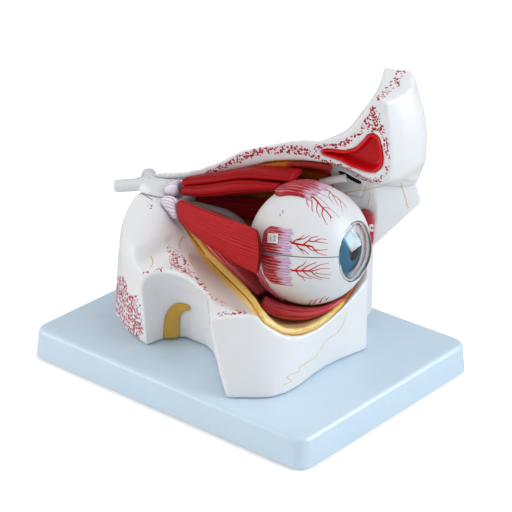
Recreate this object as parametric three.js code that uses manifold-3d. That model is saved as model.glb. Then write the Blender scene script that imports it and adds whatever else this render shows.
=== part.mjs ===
// Eye anatomy model at three times life size, on a moulded base plate.
// Millimetres, +Z up. +X is the front of the eye, +Y the nose side, -Y the open outer side.
// The origin is the middle of the base plate's underside.
import * as THREE from 'three';
import { mergeVertices } from 'three/addons/utils/BufferGeometryUtils.js';
import Module from 'manifold-3d';

const wasm = await Module();
wasm.setup();

// Clearance between pieces that touch on the real model
const GAP = 0.3;
const SHELL_GAP = 0.6;

// Base plate
const BASE = { length: 220, width: 164, height: 20, corner: 9, draft: 1.6, edge: 3, wall: 3, top: 3.2 };
const FOOT = { radius: 8, height: 3.2, standOff: 1.4, inset: 17, dimple: 3.5 };
const BOSS = { radius: 5, screwHole: 1.9 };
const SCREW = { shank: 1.5, head: 3.4, headHeight: 2.2, length: 20 };

// Eyeball, three times a 24.3 mm eye
const EYE = {
  centre: [39.2, 10, 89.7], yaw: 7.3, pitch: 5.5, roll: 11,
  radius: 36.4, scleraWall: 3, choroidWall: 2.1, limbusAngle: 30.5, splitGap: 0.6, nerveHole: 5,
};
const CORNEA = { apex: 38.5, wall: 1.2, seat: 29.7 };
const IRIS = { outer: 16, pupil: 5.8, back: 28.3, wall: 0.8, bulge: 1.3 };
const LENS = { radius: 13.6, middle: 23.6, frontCurve: 30, backCurve: 18 };
const CILIARY = { bore: 14.2, front: 28, back: 24.2 };
const VITREOUS = { play: 0.7, flat: 23.4, dishClearance: 0.4 };
const PIN = { radius: 0.8, length: 6, angle: 125 };

// Cut through the skull beside the midline, and the parts measured from it
const SECTION = { yaw: 18.2, through: [64, 45], noseDepth: 32, wallDepth: 17 };
const BONE_WALL = 8;
const LINING_WALL = 2.4;
const LINING_SEAT = 0.75;

const COLOURS = {
  base: 0xbcd3e2, rubber: 0x3a3f45, steel: 0xb9bcc0, bone: 0xe6e7e8, sinus: 0xc3242c,
  lining: 0xd08a35, muscle: 0xa3191d, tendon: 0xb9a4bd, nerve: 0xd9dbdf, nerveGrey: 0x9a9798,
  sclera: 0xe4e6e8, choroid: 0x6e2a20, cornea: 0xdfe9ef, iris: 0x2f6f90, lens: 0xe9eef0,
  vitreous: 0xdde6ea, yellowNerve: 0xcfa640, gland: 0xc8303c,
};

const group = new THREE.Group();

// Small helpers

const vec = (x, y, z) => new THREE.Vector3(x, y, z);
const toVector = (list) => new THREE.Vector3(...list);
const radians = THREE.MathUtils.degToRad;

function solid(geometry) {
  const bare = geometry.clone();
  bare.deleteAttribute('normal');
  bare.deleteAttribute('uv');
  const merged = mergeVertices(bare, 1e-4);
  const index = [...merged.index.array];
  const kept = [];
  for (let i = 0; i < index.length; i += 3) {
    const [a, b, c] = index.slice(i, i + 3);
    if (a !== b && b !== c && c !== a) kept.push(a, b, c);
  }
  const mesh = new wasm.Mesh({
    numProp: 3, vertProperties: merged.attributes.position.array, triVerts: new Uint32Array(kept),
  });
  return new wasm.Manifold(mesh);
}

function geometryOf(body) {
  const mesh = body.getMesh();
  const points = new Float32Array(mesh.triVerts.length * 3);
  mesh.triVerts.forEach((vertex, i) => {
    for (let k = 0; k < 3; k++) points[3 * i + k] = mesh.vertProperties[mesh.numProp * vertex + k];
  });
  const geometry = new THREE.BufferGeometry();
  geometry.setAttribute('position', new THREE.BufferAttribute(points, 3));
  geometry.computeVertexNormals();
  return geometry;
}

function joined(first, ...others) {
  return others.reduce((body, other) => body.add(other), first);
}

function cutBy(first, ...cutters) {
  return cutters.reduce((body, cutter) => body.subtract(cutter), first);
}

function material(name, roughness = 0.4, metalness = 0) {
  return new THREE.MeshStandardMaterial({ color: COLOURS[name], roughness, metalness });
}

function addMesh(name, geometry, finish, parent = group) {
  const mesh = new THREE.Mesh(geometry, finish);
  mesh.name = name;
  parent.add(mesh);
  return mesh;
}

// Closed body through rings with equal counts of points, capped at both ends
function loft(rings) {
  const count = rings[0].length;
  const points = rings.flat();
  const faces = [];
  for (let i = 0; i < rings.length - 1; i++) {
    for (let j = 0; j < count; j++) {
      const a = i * count + j;
      const b = i * count + ((j + 1) % count);
      faces.push([a, b, b + count], [a, b + count, a + count]);
    }
  }
  capFaces(rings[0]).forEach(([a, b, c]) => faces.push([a, c, b]));
  const last = (rings.length - 1) * count;
  capFaces(rings.at(-1)).forEach(([a, b, c]) => faces.push([a + last, b + last, c + last]));
  let volume = 0;
  faces.forEach(([a, b, c]) => { volume += points[a].dot(points[b].clone().cross(points[c])); });
  const order = volume > 0 ? faces : faces.map(([a, b, c]) => [a, c, b]);
  const flat = order.flat().flatMap((i) => points[i].toArray());
  const geometry = new THREE.BufferGeometry();
  geometry.setAttribute('position', new THREE.Float32BufferAttribute(flat, 3));
  geometry.computeVertexNormals();
  return geometry;
}

// Triangles that close one ring, wound the way the ring runs
function capFaces(ring) {
  const normal = vec(0, 0, 0);
  ring.forEach((p, i) => normal.add(p.clone().cross(ring[(i + 1) % ring.length])));
  normal.normalize();
  const turn = new THREE.Quaternion().setFromUnitVectors(normal, vec(0, 0, 1));
  const flat = ring.map((p) => { const q = p.clone().applyQuaternion(turn); return new THREE.Vector2(q.x, q.y); });
  const area = ([a, b, c]) => (flat[b].x - flat[a].x) * (flat[c].y - flat[a].y)
    - (flat[b].y - flat[a].y) * (flat[c].x - flat[a].x);
  return THREE.ShapeUtils.triangulateShape(flat, []).map((f) => (area(f) < 0 ? [f[0], f[2], f[1]] : f));
}

const throughPoints = (points, closed = false) => new THREE.CatmullRomCurve3(points, closed, 'catmullrom', 0.5);

// Polygon with rounded corners: each corner is [x, y, radius]
function roundedRing(corners, z, steps = 3) {
  const ring = [];
  corners.forEach(([x, y, radius], i) => {
    const before = corners.at(i - 1);
    const after = corners[(i + 1) % corners.length];
    const corner = new THREE.Vector2(x, y);
    const back = new THREE.Vector2(before[0], before[1]).sub(corner);
    const ahead = new THREE.Vector2(after[0], after[1]).sub(corner);
    const reach = Math.min(radius, 0.45 * back.length(), 0.45 * ahead.length());
    const start = corner.clone().addScaledVector(back.normalize(), reach);
    const end = corner.clone().addScaledVector(ahead.normalize(), reach);
    const curve = new THREE.QuadraticBezierCurve(start, corner, end);
    curve.getPoints(steps).forEach((p) => ring.push(vec(p.x, p.y, z)));
  });
  return ring;
}

function boxSolid(sizeX, sizeY, sizeZ, x, y, z) {
  const geometry = new THREE.BoxGeometry(sizeX, sizeY, sizeZ);
  geometry.translate(x, y, z);
  return solid(geometry);
}

// Six times the signed volume: positive when the faces look outwards
function signedVolume(geometry) {
  const position = geometry.attributes.position;
  const corner = (i) => new THREE.Vector3().fromBufferAttribute(position, i);
  let volume = 0;
  for (let i = 0; i < position.count; i += 3) {
    volume += corner(i).dot(corner(i + 1).cross(corner(i + 2)));
  }
  return volume;
}

// Turned body about +Z from [radius, height] pairs around its section, run anticlockwise
function turned(profile, segments) {
  const points = [...profile, profile[0]].map(([r, h]) => new THREE.Vector2(r, h));
  const upright = (list) => {
    const geometry = new THREE.LatheGeometry(list, segments).toNonIndexed();
    geometry.rotateX(Math.PI / 2);
    return geometry;
  };
  const geometry = upright(points);
  return signedVolume(geometry) > 0 ? geometry : upright([...points].reverse());
}

// Base plate: a shallow tray open below, with ribs, foot pads and screw bosses

const BONE_SCREWS = [[-62, -18], [-66, 2], [50, -42], [48, 18]];
const footPlaces = [-1, 1].flatMap((sx) => [-1, 1].map((sy) => [
  sx * (BASE.length / 2 - FOOT.inset), sy * (BASE.width / 2 - FOOT.inset),
]));

function plateRing(z, inset) {
  const x = BASE.length / 2 - inset;
  const y = BASE.width / 2 - inset;
  const r = Math.max(BASE.corner - inset, 2);
  return roundedRing([[x, -y, r], [x, y, r], [-x, y, r], [-x, -y, r]], z, 5);
}

function makeBase() {
  const bottom = FOOT.standOff;
  const shoulder = BASE.height - BASE.edge;
  const outer = [plateRing(bottom, 0), plateRing(shoulder, BASE.draft * 0.6)];
  for (let i = 1; i <= 3; i++) {
    const turn = (i / 3) * Math.PI / 2;
    const inset = BASE.draft * 0.6 + BASE.edge * (1 - Math.cos(turn));
    outer.push(plateRing(shoulder + BASE.edge * Math.sin(turn), inset));
  }
  const ceiling = BASE.height - BASE.top;
  const hollow = loft([plateRing(bottom - 1, BASE.wall), plateRing(ceiling, BASE.wall + BASE.draft)]);
  const ribHeight = ceiling - bottom - 4;
  const ribs = [];
  for (const x of [-55, 0, 25, 80]) ribs.push(boxSolid(2, BASE.width - 4, ribHeight, x, 0, ceiling - ribHeight / 2 + 0.5));
  for (const y of [-52, 36]) ribs.push(boxSolid(BASE.length - 4, 2, ribHeight, 0, y, ceiling - ribHeight / 2 + 0.5));
  const post = (x, y, radius, low) => {
    const geometry = new THREE.CylinderGeometry(radius, radius, ceiling + 0.5 - low, 14);
    geometry.rotateX(Math.PI / 2);
    geometry.translate(x, y, (ceiling + 0.5 + low) / 2);
    return solid(geometry);
  };
  const bosses = BONE_SCREWS.map(([x, y]) => post(x, y, BOSS.radius, bottom + 5));
  const pads = footPlaces.map(([x, y]) => post(x, y, FOOT.radius + 2, bottom));
  const holes = BONE_SCREWS.map(([x, y]) => {
    const geometry = new THREE.CylinderGeometry(BOSS.screwHole, BOSS.screwHole, 40, 12);
    geometry.rotateX(Math.PI / 2);
    geometry.translate(x, y, 15);
    return solid(geometry);
  });
  const sockets = footPlaces.map(([x, y]) => {
    const geometry = new THREE.CylinderGeometry(FOOT.radius + GAP, FOOT.radius + GAP, 4, 16);
    geometry.rotateX(Math.PI / 2);
    geometry.translate(x, y, FOOT.height + GAP - 2);
    return solid(geometry);
  });
  const shell = cutBy(solid(loft(outer)), solid(hollow));
  const body = cutBy(joined(shell, ...ribs, ...bosses, ...pads), ...holes, ...sockets);
  addMesh('base_plate', geometryOf(body), material('base', 0.35));

  const footProfile = [[0, 0.8], [FOOT.dimple, 0.8], [FOOT.dimple + 0.8, 0], [FOOT.radius - 0.8, 0],
    [FOOT.radius, 0.8], [FOOT.radius, FOOT.height], [0, FOOT.height]];
  footPlaces.forEach(([x, y], i) => {
    const foot = addMesh(`rubber_foot_${i + 1}`, turned(footProfile, 12), material('rubber', 0.8));
    foot.position.set(x, y, 0);
  });

  const seat = bottom + 5;
  const screwProfile = [[0, seat - GAP - SCREW.headHeight], [SCREW.head - 0.8, seat - GAP - SCREW.headHeight],
    [SCREW.head, seat - GAP - 1], [SCREW.head, seat - GAP], [SCREW.shank, seat - GAP],
    [SCREW.shank, seat + SCREW.length - 2], [0, seat + SCREW.length]];
  BONE_SCREWS.forEach(([x, y], i) => {
    const screw = addMesh(`bone_screw_${i + 1}`, turned(screwProfile, 12), material('steel', 0.3, 0.9));
    screw.position.set(x, y, 0);
  });
}

// Orbit: meridians of its inner surface, from the apex to the rim, outer edge first

const ORBIT_MERIDIANS = {
  outerEdge: [[-50, -8, 85], [-37, -10.5, 79], [-22, -15.5, 73.5], [-4, -22, 70.5], [13, -28, 69], [35, -40, 70], [54, -51, 65.5]],
  lowOuter: [[-50, -4, 83], [-37, -3, 76], [-22, -7, 69], [-4, -12, 63], [14, -17, 57], [38, -28, 50], [61, -38, 55.3]],
  floor: [[-50, 1, 83], [-37, 5, 74.5], [-22, 4, 66], [-4, 1, 57], [15, -5, 47], [40, -12, 42], [64.3, -18, 50.8]],
  lowInner: [[-50, 5, 85], [-37, 15, 76.5], [-22, 19, 69], [-4, 20, 59], [16, 18, 49], [42, 14, 44], [65, 8, 55]],
  wallLow: [[-50, 8.5, 90], [-37, 24, 84], [-22, 29, 78], [-4, 34, 70], [17, 39, 62], [42, 43, 58], [58, 43, 66]],
  wallMiddle: [[-50, 9.5, 97], [-37, 27, 97], [-22, 34, 97], [-4, 41, 96], [17, 48, 94], [40, 54, 92], [51, 55, 88]],
  wallHigh: [[-50, 9, 104], [-37, 24, 108], [-22, 30, 113], [-4, 37, 119], [17, 44, 122], [40, 50, 121], [55, 55, 112]],
  roofEdge: [[-50, 6.5, 108], [-37, 11.2, 112], [-22, 16.2, 119], [-4, 22.1, 126.5], [16, 28.7, 131], [40, 36.6, 131.3], [60, 43.2, 124.5]],
};
const ORBIT_MIDDLES = [[-50, 1, 95], [-37, 5, 94], [-22, 8, 94], [-4, 10, 94], [15, 12, 94], [40, 14, 94], [58, 14, 94]];
const RIDGE = [[-50, -17, 86], [-41, -28, 78], [-27, -32, 78], [-5, -39.5, 75.5], [15, -47, 71], [40, -59, 73.5], [55, -56, 73]];
const OUTER_CUT = [[-50, -60, 66], [-42, -53, 67], [-24, -52, 75.5], [-5, -52, 77], [13, -54, 70.5], [33, -76, 69.5], [56, -60, 68.5]];

const meridians = Object.values(ORBIT_MERIDIANS).map((points) => throughPoints(points.map(toVector)));
const middles = throughPoints(ORBIT_MIDDLES.map(toVector));
const ridge = throughPoints(RIDGE.map(toVector));
const outerCut = throughPoints(OUTER_CUT.map(toVector));

// Points across the orbit's wall at t along it, moved inwards by a distance
function orbitArc(t, inward, from, to, steps, ends) {
  const middle = middles.getPoint(t);
  const knots = meridians.map((curve, j) => curve.getPoint(ends ? t * ends[j] : t));
  const across = throughPoints(knots);
  const arc = [];
  for (let i = 0; i <= steps; i++) {
    const p = across.getPoint(from + (to - from) * (i / steps));
    arc.push(p.addScaledVector(middle.clone().sub(p).normalize(), inward));
  }
  return arc;
}

// The orbit's hollow; with the open side it also clears everything outside the ridge
function orbitHollow(openSide = true) {
  const rings = [];
  const steps = 16;
  const stations = 15;
  for (let k = 0; k <= stations; k++) {
    const t = k / stations;
    const arc = orbitArc(t, -LINING_SEAT, 0, 1, steps);
    const top = arc.at(-1);
    const side = outerCut.getPoint(t);
    const edge = arc[0].clone().add(vec(0, -9, 4));
    const outside = openSide ? [vec(side.x, -140, side.z - 12), side, ridge.getPoint(t)] : [edge];
    const above = openSide ? vec(top.x, -140, 190) : vec(top.x, edge.y - 3, 150);
    rings.push([...outside, ...arc, vec(top.x, top.y - 3, 150), above]);
  }
  const front = rings.at(-1).map((p) => p.clone().add(vec(30, 0, 0)));
  const back = rings[0].map((p) => p.clone().add(vec(-1.5, 0, 0)));
  return solid(loft([back, ...rings, front]));
}

// Sheet that lies against the orbit's wall
function liningBody() {
  const ends = [0.99, 0.99, 0.99, 0.985, 0.93, 0.75, 0.72, 0.8];
  const across = 16;
  const along = 12;
  const rings = [];
  for (let k = 0; k <= along; k++) {
    const t = 0.04 + 0.96 * (k / along);
    const outer = orbitArc(t, GAP, 0.006, 0.985, across, ends);
    const inner = orbitArc(t, GAP + LINING_WALL, 0.006, 0.985, across, ends);
    rings.push([...outer, ...inner.reverse()]);
  }
  return solid(loft(rings));
}

function makeLining() {
  const touching = ['levator_palpebrae', 'medial_rectus', 'inferior_rectus', 'superior_oblique'];
  const seats = touching.map((name) => solid(belly(MUSCLES[name], GAP)));
  addMesh('periorbita_lining', geometryOf(cutBy(liningBody(), ...seats, tendonRod(GAP))), material('lining', 0.35));
}

// Bones below and behind the eye

const FOOTPRINT = [
  [-85.5, -33, 5], [-59.5, -48, 8], [-36.3, -53.5, 0.6], [20, -51, 0.6], [44, -71, 0.8], [64, -54.6, 7],
  [67.6, -38.8, 12], [62.5, 0, 22], [68.9, 30, 3], [36, 66, 8], [-40, 34, 10], [-82, 12, 8],
];
const MID_OUTLINE = [
  [-87, -26, 5], [-62, -45, 9], [-42, -51.5, 0.6], [15, -51.5, 0.6], [34, -73.5, 0.8], [55, -57.5, 7],
  [63, -44, 12], [65.5, -6, 22], [62, 40, 3], [36, 66, 8], [-40, 38, 10], [-82, 16, 8],
];
const HIGH_OUTLINE = [
  [-85, -21, 6], [-68, -36, 9], [-44, -50, 0.6], [13, -52, 0.6], [33, -74, 0.8], [54, -58, 7],
  [60, -45, 12], [61, -5, 14], [56, 43, 4], [36, 67, 8], [-40, 40, 10], [-80, 18, 8],
];

function makeOrbitBone() {
  const floor = BASE.height + GAP;
  const blank = solid(loft([
    roundedRing(FOOTPRINT, floor), roundedRing(MID_OUTLINE, 62), roundedRing(HIGH_OUTLINE, 76), roundedRing(HIGH_OUTLINE, 80),
  ]));
  const wall = solid(loft([wallRing(26), wallRing(70), wallRing(SUTURE.height)]));
  const nose = solid(loft([
    noseRing(64, 92), noseRing(98, 92.8), noseRing(SUTURE.noseHeight - 5, 91.2), noseRing(SUTURE.noseHeight + 9, 88),
  ]));
  const noseCut = solid(loft([
    [onSection(92.4, -20, 103.5), onSection(92.4, 60, 103.5), onSection(58, 60, 66), onSection(58, -20, 66)],
    [onSection(150, -20, 103), onSection(150, 60, 103), onSection(150, 60, 20), onSection(150, -20, 20)],
  ]));
  const noseRoot = cutBy(nose, noseCut, ...frontalSeats());
  const lower = cutBy(joined(cutBy(joined(blank, wall), suture(1, 0)), noseRoot), orbitHollow());
  const apex = cutBy(column(), orbitHollow(false), ...tendonSeats());
  const holes = BONE_SCREWS.map(([x, y]) => {
    const geometry = new THREE.CylinderGeometry(SCREW.shank + GAP, SCREW.shank + GAP, 2 * SCREW.length, 12);
    geometry.rotateX(Math.PI / 2);
    geometry.translate(x, y, BASE.height - SCREW.length + 8);
    return solid(geometry);
  });
  const body = cutBy(joined(lower, apex), solid(niche()), pocket(), sacBody(GAP), maxillaryNerve(GAP), ...holes);
  addMesh('orbit_bone', geometryOf(body), material('bone', 0.25));
}

// Stalk behind the orbit that carries the nerves
function column(lift = 0) {
  return solid(loft([
    columnRing([[-82, -22], [-70, -38], [-60, -44.5], [-46, -48.5], [-36, -32], [-30, 14], [-76, 20]], 50 + lift),
    columnRing([[-84, -21], [-73.5, -37.5], [-62, -44.5], [-49, -48], [-41, -30], [-33, 12], [-76, 18]], 70 + lift),
    columnRing([[-84.3, -19], [-74, -34.5], [-63, -42], [-52, -44], [-44, -26], [-36, 12], [-75, 17]], 80.5 + lift),
    columnRing([[-84, -18], [-73, -30], [-64, -34.5], [-55, -33.5], [-46.5, -20], [-39, 11], [-74, 16]], 85 + lift),
    columnRing([[-83.2, -16.5], [-73, -24.5], [-65, -27.5], [-57, -25], [-49, -14], [-42, 10], [-73, 15]], 90 + lift),
    columnRing([[-81, -12.5], [-73, -16.5], [-66, -17], [-60, -14.5], [-53, -8], [-50, 6], [-71, 9]], 97 + lift),
  ]));
}

// Everything above (side 1) or below (side -1) the suture between the two bones
function suture(side, gap) {
  const far = side > 0 ? 220 : 0;
  return solid(loft([-40, 90].map((m) => [
    onSection(-110, m, SUTURE.height - 4 + gap), onSection(-53, m, SUTURE.height - 4 + gap),
    onSection(-50.5, m, SUTURE.height + gap), onSection(60, m, SUTURE.height + gap),
    onSection(66, m, SUTURE.noseHeight + gap), onSection(120, m, SUTURE.noseHeight + gap),
    onSection(120, m, far), onSection(-110, m, far),
  ])));
}

function columnRing(points, z) {
  const curve = throughPoints(points.map(([x, y]) => vec(x, y, z)), true);
  return curve.getPoints(24).slice(0, 24);
}

// Point in the skull's own frame: u forwards along the cut, m inwards from it, z up
function onSection(u, m, z) {
  const turn = radians(SECTION.yaw);
  const [px, py] = SECTION.through;
  const depth = -Math.sin(turn) * px + Math.cos(turn) * py + m;
  return vec(Math.cos(turn) * u - Math.sin(turn) * depth, Math.sin(turn) * u + Math.cos(turn) * depth, z);
}

function wallRing(z) {
  const outer = SECTION.wallDepth + BONE_WALL;
  const plan = [[-49, 3], [-30, 8], [64, 8], [64, outer], [-30, outer - 1], [-49, 9]];
  return plan.map(([u, m]) => onSection(u, m, z));
}

function noseRing(z, tip) {
  const depth = SECTION.noseDepth - GAP;
  return [onSection(60, 14, z), onSection(67, 14, z), onSection(tip, depth - 1, z),
    onSection(tip - 3, depth, z), onSection(52, depth, z), onSection(52, 20, z)];
}

// Arched niche in the outer side, open at the bottom and the side
function niche() {
  const arches = [
    { y: -90, left: [-38, -44], right: [46, 30], spring: 58, crown: 76 },
    { y: -51, left: [-35.9, -41.5], right: [20.5, 18.5], spring: 57, crown: 75 },
    { y: -41, left: [-34.5, -38], right: [9, 8], spring: 50, crown: 66 },
    { y: -34, left: [-31, -31], right: [0, -1], spring: 40, crown: 55 },
    { y: -30.5, left: [-26, -25], right: [-8, -9], spring: 30, crown: 42 },
  ];
  return loft(arches.map(({ y, left, right, spring, crown }) => {
    const ring = [vec(left[0], y, BASE.height - 2), vec((left[0] + left[1]) / 2, y, (BASE.height + spring) / 2)];
    const middle = (left[1] + right[1]) / 2;
    const half = (right[1] - left[1]) / 2;
    for (let i = 0; i <= 10; i++) {
      const turn = Math.PI * (1 - i / 10);
      ring.push(vec(middle + half * Math.cos(turn), y, spring + (crown - spring) * Math.sin(turn)));
    }
    ring.push(vec((right[0] + right[1]) / 2, y, (BASE.height + spring) / 2), vec(right[0], y, BASE.height - 2));
    return ring;
  }));
}

// Hollow below the orbit's floor, open against the base plate
function pocket() {
  const outline = [[10, -30, 6], [54, -40, 8], [54, 10, 8], [40, 36, 8], [-20, 22, 8], [-20, -18, 6]];
  return solid(loft([roundedRing(outline, BASE.height - 2), roundedRing(outline, 30)]));
}

// Frontal bone: the cut through roof, sinus and brow, and the brow and nose root beside it

const ROOF_LOWER = [[-74.5, 103.6], [-58, 106.8], [-42, 110.5], [-28.7, 116.8], [-15.4, 123], [-2.2, 127.2], [10.8, 130.2],
  [23.8, 132], [36.6, 132], [46.2, 130.8], [55.8, 127.8], [63.5, 125.2], [69.8, 123.2], [76.1, 124], [80.4, 127.6]];
const BROW_FRONT = [[81.9, 137.5], [80.2, 153], [78.6, 165.4], [77.7, 175.5], [74, 177.8], [67.8, 178]];
const ROOF_UPPER = [[64.3, 169.6], [60.6, 161], [55.2, 154.6], [49, 150.3], [43.5, 147.8], [39, 147.8], [35.5, 145.6],
  [26.8, 145.2], [17.2, 143.2], [4.3, 138.6], [-15.3, 131.8], [-28.7, 122.6], [-42.1, 115.6], [-58, 110.8],
  [-72, 108], [-75.5, 105.8]];
const SINUS = [[36.5, 138.2], [37.5, 140.3], [46, 141.5], [52, 141.6], [58.6, 144.1], [63.5, 149.9], [66.5, 154.5],
  [69.8, 155.4], [73.4, 153.3], [74.8, 148.5], [76.3, 139.8], [75.2, 134.3], [70.9, 130.2], [65.9, 130.2],
  [55.7, 132.1], [49.3, 134.9], [41.7, 136.2], [37.4, 136.8]];
const BROW_CUT = [[40, 131.5], [60, 126.4], [69.8, 123.2], [76.1, 124], [80.4, 127.6], ...BROW_FRONT,
  [62, 165.5], [52, 152.5], [40, 147.4]];
const BROW_SIDE = [[46, 108], [60, 110], [76, 112], [84, 112.8], [88.8, 117], [93, 130], [93.6, 147], [90.4, 164],
  [85.2, 180], [82.5, 186], [64.5, 186.3], [63, 173], [54, 159], [46, 139]];
const SUTURE = { height: 106, noseHeight: 112 };

// Outline of the roof at a depth m behind the cut: its top falls away and it gains the inner wall
function roofRing(m) {
  const foot = (u) => SUTURE.height - 1 - 0.0008 * (u + 5) ** 2;
  const low = ROOF_LOWER.map(([u, z]) => [u, m > 0 && u < 62 ? foot(u) : z]);
  const least = (u) => SUTURE.height + 0.7 + 0.0006 * (u + 70) ** 2;
  const slant = (u) => (u < -40 ? -40 + (u + 40) * Math.max(0.1, 1 - m / 18) : u);
  const high = ROOF_UPPER.map(([u, z]) => [u, Math.max(z - 0.5 * m * Math.min(1, (66 - u) / 12), least(u))]);
  return [...low, ...BROW_FRONT, ...(m > 0 ? high : ROOF_UPPER)].map(([u, z]) => onSection(slant(u), m, z));
}

function frontalBlank() {
  const slab = solid(loft([0, 9, SECTION.wallDepth + BONE_WALL].map(roofRing)));
  const rings = [0, 0.22, 0.45, 0.66, 0.84, 1].map((share) => BROW_CUT.map(([u, z], i) => {
    const forward = i > 3 && i < 10;
    const [sideU, sideZ] = BROW_SIDE[i];
    const ease = sideZ > 185 ? share ** 2.6 : share * share * (3 - 2 * share);
    const mix = forward ? 1 - (1 - share) ** 2 : ease;
    const bulge = forward ? Math.sin(share * Math.PI) * 2.2 : 0;
    return onSection(u + (sideU - u) * mix + bulge, share * SECTION.noseDepth, z + (sideZ - z) * ease);
  }));
  return joined(slab, solid(loft(rings)));
}

// The frontal bone's blank, moved by the clearance towards each of its neighbours below and behind
function frontalSeats() {
  const blank = cutBy(frontalBlank(), suture(-1, GAP));
  return [[0, 0, 0], [0, 0, -GAP], [-GAP, 0, 0], [0, -GAP, 0]].map((move) => blank.translate(move));
}

function makeFrontalBone() {
  const body = cutBy(frontalBlank(), suture(-1, GAP), orbitHollow(), sinusRecess(0, 10), tendonRod(0.6));
  addMesh('frontal_bone', geometryOf(body), material('bone', 0.25));
  const lining = cutBy(sinusRecess(GAP, 10 - GAP), sinusRecess(GAP + 1.3, 10 - GAP - 1.4, -2));
  addMesh('frontal_sinus_lining', geometryOf(lining), material('sinus', 0.2));
}

function sinusRecess(inset, depth, start = 0) {
  const outline = SINUS.map(([u, z]) => new THREE.Vector2(u, z));
  const room = outline.map((p, i) => Math.min(...outline.map((q, j) => {
    const apart = Math.abs(i - j);
    return Math.min(apart, outline.length - apart) > 1 ? 0.35 * p.distanceTo(q) : 99;
  })));
  const shrunk = (amount) => outline.map((p, i) => {
    const before = outline.at(i - 1);
    const after = outline[(i + 1) % outline.length];
    const along = after.clone().sub(before).normalize();
    return p.clone().add(new THREE.Vector2(along.y, -along.x).multiplyScalar(Math.min(amount, room[i])));
  });
  const level = (amount, m) => shrunk(amount).map((p) => onSection(p.x, m, p.y));
  return solid(loft([
    level(inset, start - 1), level(inset, depth * 0.5), level(inset + 0.5, depth * 0.8), level(inset + 1, depth),
  ]));
}

// Muscles: a belly along a centre line, with a width, a thickness and a camber at each station

function belly({ stations, across = 8, along = 10, strands = 0, groove = 0.4 }, room = 0) {
  const centre = throughPoints(stations.map((s) => toVector(s.at)));
  const size = throughPoints(stations.map((s) => vec(s.width, s.thick, s.camber ?? 0)));
  const side = throughPoints(stations.map((s) => toVector(s.side)));
  const rings = [];
  for (let k = 0; k <= along; k++) {
    const t = k / along;
    const middle = centre.getPoint(t);
    const tangent = centre.getTangent(t);
    const across3 = side.getPoint(t);
    across3.addScaledVector(tangent, -across3.dot(tangent)).normalize();
    const outward = across3.clone().cross(tangent).normalize();
    const { x, y, z: camber } = size.getPoint(t);
    const width = x + 2 * room;
    const thick = y + 2 * room;
    const spot = (a, h) => middle.clone().addScaledVector(across3, a * width / 2)
      .addScaledVector(outward, h - camber * a * a);
    const outer = [];
    const inner = [];
    for (let i = 0; i <= across; i++) {
      const a = -1 + (2 * i) / across;
      const body = (thick / 2) * (0.3 + 0.7 * Math.sqrt(Math.max(0, 1 - a ** 4)));
      const rib = strands ? groove * (Math.abs(Math.cos((strands * Math.PI * (a + 1)) / 2)) - 1) : 0;
      outer.push(spot(a, body + rib));
      if (i % 2 === 0) inner.push(spot(a, -body));
    }
    rings.push([...outer, ...inner.reverse()]);
  }
  return loft(rings);
}

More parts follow.
